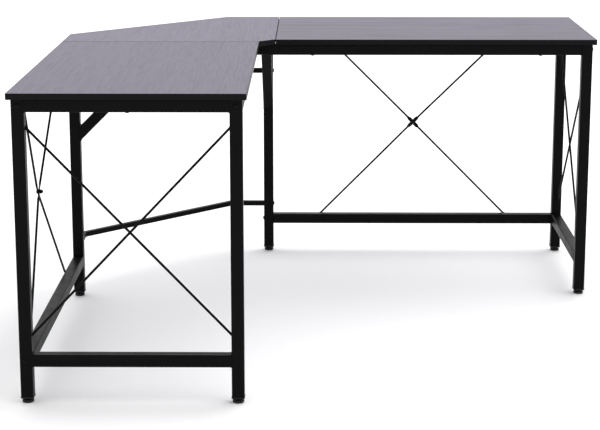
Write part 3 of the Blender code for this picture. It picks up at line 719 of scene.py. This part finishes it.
def add_inner_rail(wing):
    """Rail under the user's edge, with its corner end sawn to a mitre."""
    low, high = wing_box(wing, "inner_top_rail")
    half = (high[2] - low[2]) / 2
    middle = (low + high) / 2
    start = np.array((low[0] + half, middle[1], middle[2]))
    end = np.array((high[0], middle[1], middle[2]))
    grid = tube_grid(start, end, UP, half, sizes().tube_rounding, sizes().tube_wall,
                     start_cut=ALONG - ACROSS)
    finish_tube(wing, "inner_top_rail", grid)


def brace_ends(wing):
    """Centre points of a brace's two sawn ends: on the leg's face and under the arm."""
    low, high = wing_box(wing, "corner_brace")
    half = (high[0] - low[0]) / 2
    reach = high[1] - low[1] - half * math.sqrt(2)
    middle = (low[0] + high[0]) / 2
    return (np.array((middle, low[1], high[2] - reach)),
            np.array((middle, low[1] + reach, high[2])), half)


def add_brace(wing):
    """Slanting brace, sawn flat to the leg's face and to the arm's underside."""
    start, end, half = brace_ends(wing)
    grid = tube_grid(start, end, ALONG, half, sizes().tube_rounding, sizes().tube_wall,
                     start_cut=ACROSS, end_cut=UP)
    finish_tube(wing, "corner_brace", grid)


class DESK_OT_tubes(bpy.types.Operator):
    """Add the legs, rails, arms and braces of square steel tube"""

    bl_idname = "corner_desk.tubes"
    bl_label = "Frame tubes"

    def execute(self, context):
        for wing in WINGS:
            for kind in LEG_KINDS:
                tube_in_box(wing, kind + "_leg", 2)
            for level in ("top", "bottom"):
                tube_in_box(wing, "wall_" + level + "_rail", 0)
                tube_in_box(wing, "end_" + level + "_rail", 1)
            tube_in_box(wing, "corner_arm", 1)
            add_inner_rail(wing)
            add_brace(wing)
        return {"FINISHED"}


# ------------------------------------------------------------------ tie bars
def tie_layout(name):
    """Where a tie bar's middle line bends, how far it stands off the wall, and its size.

    The bar's outer face along the left wall ends where its bend begins, which its node's
    vertices tell.
    """
    low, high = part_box(name)
    size = high.z - low.z
    points = node_points(name)
    on_face = points[points[:, 0] < low.x + NEAR / 2]
    return WALL_Y - on_face[:, 1].max(), low.x + size / 2 - WALL_X, size


def add_tie_bar(name):
    """Square bar along both walls and across the corner, carried round two bends.

    Each bend turns its middle line by an eighth of a circle. A row of the section stands
    square to the line, and where two steps meet it lies on their mitre, wider by
    1 / cos(half the turn).
    """
    bend_start, across, size = tie_layout(name)
    low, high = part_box(name)
    t = np.linspace(0.0, math.pi / 4, 9)
    along = np.concatenate(([high.x - WALL_X], bend_start - TIE_BEND_RADIUS * np.sin(t)))
    off_wall = across + np.concatenate(([0.0], TIE_BEND_RADIUS * (1 - np.cos(t))))
    right = np.stack((WALL_X + along, WALL_Y - off_wall), -1)
    left = np.stack((WALL_X + off_wall, WALL_Y - along), -1)[::-1]
    line = np.concatenate((right, left))
    step_in = np.diff(line, axis=0, prepend=line[:1] - (line[1] - line[0]))
    step_out = np.diff(line, axis=0, append=line[-1:] + (line[-1] - line[-2]))
    step_in /= np.linalg.norm(step_in, axis=1)[:, None]
    step_out /= np.linalg.norm(step_out, axis=1)[:, None]
    tangent = step_in + step_out
    tangent /= np.linalg.norm(tangent, axis=1)[:, None]
    mitre = 1 / np.sum(tangent * step_in, axis=1)
    normal = np.stack((-tangent[:, 1], tangent[:, 0]), -1) * mitre[:, None]
    outline = rounded_rectangle(size / 2, size / 2, sizes().tie_rounding)
    rows = np.empty((len(line), len(outline), 3))
    rows[:, :, :2] = line[:, None] + outline[None, :, :1] * normal[:, None]
    rows[:, :, 2] = (low.z + high.z) / 2 + outline[None, :, 1]
    add_piece(name + "_bent_tube", name, rows, black_powder_coat, "steel")


class DESK_OT_ties(bpy.types.Operator):
    """Add the two bent tie bars that follow the cut-off corner"""

    bl_idname = "corner_desk.ties"
    bl_label = "Tie bars"

    def execute(self, context):
        add_tie_bar("upper_tie_bar")
        add_tie_bar("lower_tie_bar")
        return {"FINISHED"}


# ------------------------------------------------------------------ rods
def circle(radius, sides):
    """Outline of a circle, radius * (cos t, sin t)."""
    t = np.linspace(0.0, 2 * math.pi, sides, endpoint=False)
    return radius * np.stack((np.cos(t), np.sin(t)), -1)


def end_rod_ends(wing, slope):
    """Centre points of an end frame's rod on the faces of its two legs."""
    low, high = wing_box(wing, "end_rod_" + slope)
    middle = (low[0] + high[0]) / 2
    run = high[1] - low[1]
    lean = math.atan2(high[2] - low[2] - sizes().rod, run)
    inset = sizes().rod / 2 / math.cos(lean)
    heights = (low[2] + inset, high[2] - inset)
    if slope == "falling":
        heights = heights[::-1]
    return np.array((middle, low[1], heights[0])), np.array((middle, high[1], heights[1]))


def add_end_rod(wing, slope):
    """Round rod between two legs, whose ends are cut along the legs' faces."""
    start, end = end_rod_ends(wing, slope)
    axes = axes_towards(start, end, ALONG)
    outline = circle(sizes().rod / 2, 24)
    rows = np.stack((cut_ring(outline, start, axes, ACROSS), cut_ring(outline, end, axes, ACROSS)))
    node = wing + "_end_rod_" + slope
    add_piece(node + "_round_bar", node, to_world(wing, rows), black_powder_coat, "steel")


def wall_rod_layout(wing):
    """Crossing point, rise from it to the upper holes, and the tabs' place off the wall."""
    rising_low, rising_high = wing_box(wing, "wall_rod_rising")
    falling_low = wing_box(wing, "wall_rod_falling")[0]
    top_z = np.mean(wing_box(wing, "wall_top_rail"), axis=0)[2]
    bottom_z = np.mean(wing_box(wing, "wall_bottom_rail"), axis=0)[2]
    crossing = np.array(((rising_low[0] + rising_high[0]) / 2,
                         (rising_low[1] + falling_low[1] + sizes().rod) / 2,
                         (top_z + bottom_z) / 2))
    tab_across = rising_high[1] - sizes().flat_thickness / 2
    return crossing, (top_z - bottom_z) / 2, tab_across


def smooth_step(t):
    """3t^2 - 2t^3, which leaves 0 and reaches 1 without a kink."""
    t = np.clip(t, 0.0, 1.0)
    return t * t * (3 - 2 * t)


def add_wall_rod(wing, slope):
    """Rod pressed flat at its crossing and at its two tabs, bowed off the rails between them.

    At the distance s along the rod, flatness f(s) is 1 on a flat and falls to 0 over the run-out.
    The section is a rounded rectangle between the round bar and the flat: its half thickness is
    (1-f)*r + f*flat/2, its half width (1-f)*r + f*width/2. The middle line's distance from the
    crossing plane goes straight from the crossing to the tab.
    """
    crossing, rise, tab_across = wall_rod_layout(wing)
    size = sizes()
    sign = 1.0 if slope == "rising" else -1.0
    tip = rise * math.sqrt(2) + TAB_BEYOND_HOLE
    tab_start = tip - TAB_LENGTH
    flat_stop = FLAT_HALF_LENGTH + FLAT_RUN_OUT
    bar_stop = tab_start - FLAT_RUN_OUT
    round_radius, nose = size.rod / 2, size.flat_width / 2
    inner = np.concatenate((np.linspace(0, flat_stop, 14),
                            np.linspace(flat_stop, bar_stop, 12)[1:],
                            np.linspace(bar_stop, tab_start, 10)[1:],
                            [tab_start + 0.004],
                            tip - nose * (1 - np.sin(np.linspace(0, 1.5, 7)))))
    s = np.concatenate((-inner[:0:-1], inner))
    far = np.abs(s)
    on_tab = smooth_step((far - bar_stop) / FLAT_RUN_OUT)
    flat = np.maximum(1 - smooth_step((far - FLAT_HALF_LENGTH) / FLAT_RUN_OUT), on_tab)
    half_thick = (1 - flat) * round_radius + flat * size.flat_thickness / 2
    half_wide = (1 - flat) * round_radius + flat * size.flat_width / 2
    past_nose = ((far - (tip - nose)) / nose).clip(0, None)
    half_wide = np.maximum(half_wide * np.sqrt(np.clip(1 - past_nose ** 2, 0.02, 1)), half_thick)
    offset = (size.flat_thickness + TOUCH) / 2 * sign
    tab_off = crossing[1] - tab_across
    bar_off = tab_off + round_radius - size.flat_thickness / 2
    straight = (far - flat_stop) / (bar_stop - FLAT_RUN_OUT - FLAT_HALF_LENGTH)
    middle = offset + (bar_off - offset) * np.clip(straight, 0, 1)
    middle = (1 - on_tab) * middle + on_tab * tab_off
    t = np.linspace(0, 2 * math.pi, 28, endpoint=False)
    corner = np.minimum(half_thick, half_wide)
    u = (half_wide - corner)[:, None] * np.sign(np.cos(t)) + corner[:, None] * np.cos(t)
    v = half_thick[:, None] * np.sin(t) + middle[:, None]
    lean = np.array((1.0, 0.0, sign)) / math.sqrt(2)
    wide = np.array((-sign, 0.0, 1.0)) / math.sqrt(2)
    rows = crossing + s[:, None, None] * lean + u[..., None] * wide - v[..., None] * ACROSS
    node = wing + "_wall_rod_" + slope
    add_piece(node + "_pressed_bar", node, to_world(wing, rows), black_powder_coat, "steel")


class DESK_OT_rods(bpy.types.Operator):
    """Add the crossed rods of the end frames and of the wall sides"""

    bl_idname = "corner_desk.rods"
    bl_label = "Brace rods"

    def execute(self, context):
        for wing in WINGS:
            for slope in ("rising", "falling"):
                add_end_rod(wing, slope)
                add_wall_rod(wing, slope)
        return {"FINISHED"}


# ------------------------------------------------------------------ welds
def add_tube_weld(welds, wing, centre, u_axis, v_axis, half_u, half_v, sunk_u, open_from=None):
    """Bead round a tube's end: sunk by sunk_u at its sides, where both tubes are flush.

    open_from leaves out what lies higher than this v, where the weld is ground off.
    """
    row_spacing = 0.0007
    outline = rounded_rectangle(half_u - sunk_u, half_v, sizes().tube_rounding)
    loop = evenly_spaced(outline, round(4 * (half_u + half_v) / row_spacing))
    closed = open_from is None
    if not closed:
        lowest = np.argmin(loop[:, 1])
        loop = np.roll(loop, len(loop) // 2 - lowest, axis=0)
        loop = loop[loop[:, 1] < open_from]
    path = centre + loop[:, :1] * u_axis + loop[:, 1:] * v_axis
    bead = bead_grid(path, sizes().weld, sizes().weld_ripple, closed)
    welds.grid(to_world(wing, bead), wrap_rows=closed)


def add_rail_welds(welds, wing, kind, flush_ends, open_top):
    """Beads at both ends of a tube that runs off the wall, sunk where it is flush with its neighbour."""
    low, high = wing_box(wing, kind)
    half = (high[2] - low[2]) / 2
    middle = (low + high) / 2
    open_from = half - sizes().weld if open_top else None
    for across, sunk in zip((low[1], high[1]), flush_ends):
        centre = np.array((middle[0], across, middle[2]))
        add_tube_weld(welds, wing, centre, ALONG, UP, half, half, sunk, open_from)


def add_frame_welds(wing):
    """Beads of one wing: end frame, corner arm, brace and the end frame's rods.

    The beads of the rods are thinner than the tubes' and drawn out upwards, as a slanting rod's
    end is.
    """
    welds = Surface()
    size = sizes()
    flush = size.weld * 0.72
    rod_bead, rod_ripple, drawn_out = size.weld * 0.55, size.weld_ripple * 0.8, 1.35
    add_rail_welds(welds, wing, "end_top_rail", (flush, flush), True)
    add_rail_welds(welds, wing, "end_bottom_rail", (flush, flush), False)
    add_rail_welds(welds, wing, "corner_arm", (flush, 0.0), True)
    start, end, half = brace_ends(wing)
    long_half = half * math.sqrt(2)
    add_tube_weld(welds, wing, start, ALONG, UP, half, long_half, flush)
    add_tube_weld(welds, wing, end, ALONG, ACROSS, half, long_half, flush)
    ring = circle(size.rod / 2, 40)
    for slope in ("rising", "falling"):
        for point in end_rod_ends(wing, slope):
            path = point + ring[:, :1] * ALONG + ring[:, 1:] * UP * drawn_out
            bead = bead_grid(path, rod_bead, rod_ripple, True)
            welds.grid(to_world(wing, bead), wrap_rows=True)
    welds.finish(wing + "_frame_welds", finish_named(black_powder_coat), "steel", sharp=60.0)


class DESK_OT_welds(bpy.types.Operator):
    """Add the weld beads of the end frames, the arms, the braces and the rods"""

    bl_idname = "corner_desk.welds"
    bl_label = "Welds"

    def execute(self, context):
        for wing in WINGS:
            add_frame_welds(wing)
        return {"FINISHED"}


# ------------------------------------------------------------------ fasteners
def dome(radius, rim, height, top_radius, steps):
    """Profile of a head's dome from its top to its rim, as points (r, h) on part of an ellipse.

    r = radius * cos(t) and h = rim + (height - rim) * sin(t) / sin(first), from the angle
    first, where r is top_radius, down to 0.
    """
    first = math.acos(top_radius / radius)
    t = np.linspace(first, 0.0, steps)
    return np.stack((radius * np.cos(t), rim + (height - rim) * np.sin(t) / math.sin(first)),
                    -1).tolist()


def button_head(wing, seat, out, shank):
    """Button-head bolt: a hexagon socket in a low dome, and its shank behind the seat."""
    radius, height = sizes().head / 2, sizes().head_height
    lip, tip = 0.0002, 0.0006
    socket = [(HEX_KEY * 0.30, height * 0.30), (HEX_KEY / 2, height * 0.42),
              (HEX_KEY / 2, height - lip)]
    skirt = [(radius, 0.0), (BOLT_RADIUS, 0.0), (BOLT_RADIUS, tip - shank),
             (BOLT_RADIUS - tip, -shank)]
    profile = [*socket, *dome(radius, height * 0.18, height, HEX_KEY * 0.72, 9), *skirt]
    return to_world(wing, turned_grid(profile, seat, out, 36, len(socket), hexagon))


def cross_head(wing, seat, out, radius, height, shank):
    """Pan-head screw: a cross slot in a dome, and its shank behind the seat."""
    slot, lip, shank_radius = radius * 0.52, 0.0001, 0.0019
    recess = [(slot * 0.35, height * 0.25), (slot * 0.8, height * 0.45), (slot, height - lip)]
    skirt = [(radius, 0.0), (shank_radius, 0.0), (shank_radius, -shank)]
    profile = [*recess, *dome(radius, height * 0.3, height, slot * 1.02, 8), *skirt]
    return to_world(wing, turned_grid(profile, seat, out, 40, len(recess), cross_slot))


def washer(wing, seat, out, radius, thickness):
    """Flat washer with a small chamfer."""
    edge = thickness * 0.25
    profile = ((BORE_RADIUS, 0.0), (radius - edge, 0.0), (radius, edge), (radius, thickness - edge),
               (radius - edge, thickness), (BORE_RADIUS, thickness))
    return to_world(wing, turned_grid(profile, seat, out, 36))


BOLT_HEADS = {
    "low_rail_end_bolt": (ALONG, 1),
    "low_rail_corner_bolt": (ALONG, -1),
    "inner_rail_bolt": (ALONG, 1),
    "lower_tie_bolt": (ALONG, 1),
    "upper_tie_bolt": (ALONG, 1),
    "cross_bolt": (ACROSS, -1),
}


def add_modelled_bolts(wing):
    """The bolts that the frame holds, one piece each."""
    for kind, (axis, sign) in BOLT_HEADS.items():
        low, high = wing_box(wing, kind)
        middle = (low + high) / 2
        top = high if sign > 0 else low
        seat = middle * (1 - axis) + top * axis - sign * sizes().head_height * axis
        shank = float(np.sum((high - low) * axis)) - sizes().head_height
        node = wing + "_" + kind
        add_piece(node + "_button_head", node, button_head(wing, seat, axis * sign, shank),
                  black_zinc_plated_steel, "fastener")


def add_top_rail_bolts(wing):
    """Bolts of the wall-side top rail, whose holes the frame has and whose bolts it hasn't."""
    low, high = wing_box(wing, "wall_top_rail")
    middle = (low + high) / 2
    bolts = Surface()
    for kind, sign in (("corner", -1), ("end_wall", 1)):
        leg_low, leg_high = wing_box(wing, kind + "_leg")
        face = leg_high[0] if sign > 0 else leg_low[0]
        seat = np.array((face, middle[1], middle[2]))
        bolts.grid(button_head(wing, seat, ALONG * sign, TOP_RAIL_BOLT_LENGTH))
    bolts.finish(wing + "_top_rail_bolts", finish_named(black_zinc_plated_steel), "fastener")


def add_tab_screws(wing):
    """Self-tapping screws, each through a rod's tab into the outer face of a rail."""
    crossing, rise, tab_across = wall_rod_layout(wing)
    face = tab_across - sizes().flat_thickness / 2
    head_radius, head_height, shank = 0.0045, 0.0023, 0.004
    screws = Surface()
    for along in (crossing[0] - rise, crossing[0] + rise):
        for height in (crossing[2] - rise, crossing[2] + rise):
            seat = np.array((along, face, height))
            screws.grid(cross_head(wing, seat, -ACROSS, head_radius, head_height, shank))
    screws.finish(wing + "_rod_tab_screws", finish_named(black_zinc_plated_steel), "fastener")


def board_screw_places(wing):
    """Places under the rails where a screw goes up into a board, in wing axes."""
    from_seam, from_end, past_middle, from_inner = 0.105, 0.115, 0.110, 0.070
    inner_low, inner_high = wing_box(wing, "inner_top_rail")
    arm_low, arm_high = wing_box(wing, "corner_arm")
    inner, wall, end, arm = (np.mean(wing_box(wing, kind), axis=0) for kind in
                             ("inner_top_rail", "wall_top_rail", "end_top_rail", "corner_arm"))
    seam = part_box("corner_desktop")[1].x - WALL_X
    near, far = seam + from_seam, inner_high[0] - from_end
    places = [(near, inner[1]), (far, inner[1]), (near, wall[1]), (far, wall[1]), (end[0], end[1]),
              (arm[0], arm_low[1] + 0.40 * (arm_high[1] - arm_low[1]) + past_middle),
              (arm[0], arm_high[1] - from_inner)]
    return [np.array((along, across, inner_low[2])) for along, across in places]


def add_board_screws(wing):
    """Screws up through the rails into the boards, with a plain washer under each head."""
    washer_radius, washer_thickness = 0.0062, 0.0009
    head_height, shank = 0.0026, 0.003
    screws = Surface()
    for place in board_screw_places(wing):
        screws.grid(washer(wing, place, -UP, washer_radius, washer_thickness), wrap_rows=True)
        seat = place - UP * washer_thickness
        screws.grid(cross_head(wing, seat, -UP, sizes().screw_head / 2, head_height, shank))
    screws.finish(wing + "_board_screws", finish_named(black_zinc_plated_steel), "fastener")


def add_cap_nut(wing):
    """Domed cap nut: a hexagon with its corners turned down to a cone, and a ball end.

    A row's radius is the hexagon's, limited to the cone that the chamfer cuts.
    """
    node = wing + "_cross_cap_nut"
    low, high = wing_box(wing, "cross_cap_nut")
    seat = np.array(((low[0] + high[0]) / 2, low[1], (low[2] + high[2]) / 2))
    length_over_all = high[1] - low[1]
    flat = min(high[0] - low[0], high[2] - low[2]) / 2
    widest = flat / math.cos(math.pi / 6)
    hex_height = length_over_all * 0.53
    dome_radius, dome_height = flat * 0.90, length_over_all - hex_height
    sides = 72
    angle = np.linspace(0.0, 2 * math.pi, sides, endpoint=False)
    outline = flat * hexagon(angle)
    chamfered = ((0.0, widest * 0.93), (length_over_all * 0.04, widest), (hex_height * 0.90, widest),
                 (hex_height, widest * 0.93))
    rows = [(np.full(sides, BORE_RADIUS), 0.0)]
    rows += [(np.minimum(outline, limit), height) for height, limit in chamfered]
    rows += [(np.full(sides, dome_radius * math.cos(t)), hex_height + dome_height * math.sin(t))
             for t in np.linspace(0.0, math.pi / 2 * 0.985, 12)]
    axes = axes_towards(seat, seat + ACROSS, UP)
    ring = np.cos(angle)[:, None] * axes[0] + np.sin(angle)[:, None] * axes[1]
    grid = np.array([seat + radius[:, None] * ring + height * ACROSS for radius, height in rows])
    add_piece(wing + "_domed_cap_nut", node, to_world(wing, grid), black_zinc_plated_steel,
              "fastener", sharp=32.0)


class DESK_OT_fasteners(bpy.types.Operator):
    """Add the bolts, the cap nuts and the screws"""

    bl_idname = "corner_desk.fasteners"
    bl_label = "Fasteners"

    def execute(self, context):
        for wing in WINGS:
            add_modelled_bolts(wing)
            add_top_rail_bolts(wing)
            add_tab_screws(wing)
            add_board_screws(wing)
            add_cap_nut(wing)
        return {"FINISHED"}


# ------------------------------------------------------------------ end caps and feet
def add_end_cap(wing, kind):
    """Moulded cap: a thin square plate with eased edges under the leg, its plug, and its bore.

    The rows go up the outside as rounded squares and down the bore as circles for the foot's
    stud, whose points lie in the same directions from the middle.
    """
    node = wing + "_" + kind + "_end_cap"
    low, high = wing_box(wing, kind + "_end_cap")
    middle = (low + high) / 2
    half = (high[0] - low[0]) / 2
    plate_top = wing_box(wing, kind + "_leg")[0][2] - TOUCH
    ease, plug_inset, around = 0.0006, 0.0035, 96
    plug = half - plug_inset
    levels = [(half - ease, low[2]), (half, low[2] + ease), (half, plate_top - ease),
              (half - ease * 0.5, plate_top), (plug, plate_top), (plug, high[2] - ease),
              (plug - ease, high[2])]
    outlines = [(evenly_spaced(rounded_rectangle(reach, reach, sizes().tube_rounding), around), height)
                for reach, height in levels]
    last = outlines[-1][0]
    bore = last / np.linalg.norm(last, axis=1)[:, None] * (STUD_RADIUS + STUD_CLEARANCE)
    outlines += [(bore, high[2]), (bore, low[2])]
    rows = np.array([np.column_stack((outline, np.full(around, height)))
                     for outline, height in outlines])
    add_piece(node + "_moulding", node, to_world(wing, rows + (middle[0], middle[1], 0.0)),
              moulded_black_polypropylene, "plastic", wrap_rows=True)


def add_levelling_foot(wing, kind):
    """Levelling foot: a round pad with a sole step, a dished top, a round collar and a stud."""
    node = wing + "_" + kind + "_levelling_foot"
    low, high = wing_box(wing, kind + "_levelling_foot")
    middle = (low + high) / 2
    radius = (high[0] - low[0]) / 2
    base = np.array((middle[0], middle[1], low[2]))
    disc, collar_top, top = FOOT_DISC_HEIGHT, FOOT_COLLAR_TOP, high[2] - low[2]
    pole, sole_step, ease, collar_radius = 0.0008, 0.0006, 0.0016, 0.0070
    t = np.linspace(0.0, math.pi / 2, 7)
    rim = np.stack((radius - ease * (1 - np.cos(t)), disc - 0.0008 - ease * (1 - np.sin(t))), -1)
    sole = [(pole, 0.0), (radius * 0.80, 0.0), (radius * 0.80, sole_step),
            (radius * 0.93, sole_step), (radius, 0.0018)]
    dish = [(radius * 0.72, disc - 0.0004), (0.0084, disc)]
    collar = [(collar_radius, disc + 0.0002), (collar_radius, collar_top - 0.0005),
              (collar_radius - 0.0005, collar_top)]
    stud = [(STUD_RADIUS, collar_top), (STUD_RADIUS, top - 0.001), (STUD_RADIUS - 0.001, top)]
    profile = [*sole, *rim.tolist(), *dish, *collar, *stud]
    add_piece(node + "_moulding", node, to_world(wing, turned_grid(profile, base, UP, 64)),
              moulded_black_polypropylene, "plastic", body=node)


class DESK_OT_feet(bpy.types.Operator):
    """Add the plastic end caps and the levelling feet"""

    bl_idname = "corner_desk.feet"
    bl_label = "End caps and feet"

    def execute(self, context):
        for wing in WINGS:
            for kind in LEG_KINDS:
                add_end_cap(wing, kind)
                add_levelling_foot(wing, kind)
        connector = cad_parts["inner_corner_connector"]
        connector.data.materials.clear()
        connector.data.materials.append(finish_named(moulded_black_polypropylene))
        return {"FINISHED"}


# ------------------------------------------------------------------ stage
def add_sun(name, strength, source):
    """Broad soft light from far away, shining from the direction given."""
    light = bpy.data.lights.new(name, "SUN")
    light.energy = strength
    light.angle = math.radians(85.0)
    lamp = bpy.data.objects.new(name, light)
    lamp.rotation_euler = Vector(source).to_track_quat("Z", "Y").to_euler()
    bpy.context.scene.collection.objects.link(lamp)


class DESK_OT_stage(bpy.types.Operator):
    """Add the floor, the soft light and the camera"""

    bl_idname = "corner_desk.stage"
    bl_label = "Stage"

    def execute(self, context):
        scene = context.scene
        stage = scene.desk_stage
        floor_radius, floor_sides = 40.0, 96
        mesh = bpy.data.meshes.new("studio_floor")
        rim = np.column_stack((circle(floor_radius, floor_sides), np.zeros(floor_sides)))
        mesh.from_pydata(rim.tolist(), [], [list(range(floor_sides))])
        mesh.materials.append(finish_named(studio_floor_paper))
        floor = bpy.data.objects.new("studio_floor", mesh)
        scene.collection.objects.link(floor)

        world = bpy.data.worlds.new("studio_light")
        world.use_nodes = True
        nodes, links = world.node_tree.nodes, world.node_tree.links
        light = nodes["Background"]
        light.inputs["Color"].default_value = grey(1.0)
        light.inputs["Strength"].default_value = stage.sky
        backdrop = nodes.new("ShaderNodeBackground")
        backdrop.inputs["Color"].default_value = grey(1.0)
        ray = nodes.new("ShaderNodeLightPath")
        mix = nodes.new("ShaderNodeMixShader")
        links.new(ray.outputs["Is Camera Ray"], mix.inputs["Fac"])
        links.new(light.outputs["Background"], mix.inputs[1])
        links.new(backdrop.outputs["Background"], mix.inputs[2])
        links.new(mix.outputs["Shader"], nodes["World Output"].inputs["Surface"])
        scene.world = world
        add_sun("key_softbox", stage.key, (0.80, 0.25, 1.0))
        add_sun("back_softbox", stage.back, (-0.1, 0.8, 1.0))
        scene.view_settings.view_transform = "Standard"

        camera = bpy.data.objects.new("studio_camera", bpy.data.cameras.new("studio_camera"))
        camera.data.lens = stage.lens
        camera.data.sensor_width = 36.0
        camera.data.shift_y = stage.camera_rise
        camera.data.clip_end = 200.0
        camera.location = stage.camera_place
        camera.rotation_euler = Euler((math.pi / 2 - stage.camera_tilt, 0.0, stage.camera_turn))
        scene.collection.objects.link(camera)
        scene.camera = camera
        return {"FINISHED"}


# ------------------------------------------------------------------ panel and registration
class DESK_PT_panel(bpy.types.Panel):
    """Steps and settings of the corner desk"""

    bl_label = "Corner desk"
    bl_idname = "DESK_PT_panel"
    bl_space_type = "VIEW_3D"
    bl_region_type = "UI"
    bl_category = "Corner desk"

    def draw(self, context):
        for step in STEPS:
            self.layout.operator(step.bl_idname)
        for group in (context.scene.desk_sizes, context.scene.desk_colours, context.scene.desk_stage):
            box = self.layout.box()
            for name in group.__annotations__:
                box.prop(group, name)


STEPS = (DESK_OT_boards, DESK_OT_tubes, DESK_OT_ties, DESK_OT_rods, DESK_OT_welds,
         DESK_OT_fasteners, DESK_OT_feet, DESK_OT_stage)
GROUPS = {"desk_sizes": DeskSizes, "desk_colours": DeskColours, "desk_stage": StageSettings}
CLASSES = (*GROUPS.values(), *STEPS, DESK_PT_panel)


def register():
    for item in CLASSES:
        bpy.utils.register_class(item)
    for name, group in GROUPS.items():
        setattr(bpy.types.Scene, name, PointerProperty(type=group))


def unregister():
    for name in GROUPS:
        delattr(bpy.types.Scene, name)
    for item in reversed(CLASSES):
        bpy.utils.unregister_class(item)


def main():
    register()
    bpy.ops.corner_desk.boards()
    bpy.ops.corner_desk.tubes()
    bpy.ops.corner_desk.ties()
    bpy.ops.corner_desk.rods()
    bpy.ops.corner_desk.welds()
    bpy.ops.corner_desk.fasteners()
    bpy.ops.corner_desk.feet()
    bpy.ops.corner_desk.stage()


if __name__ == "__main__":
    main()
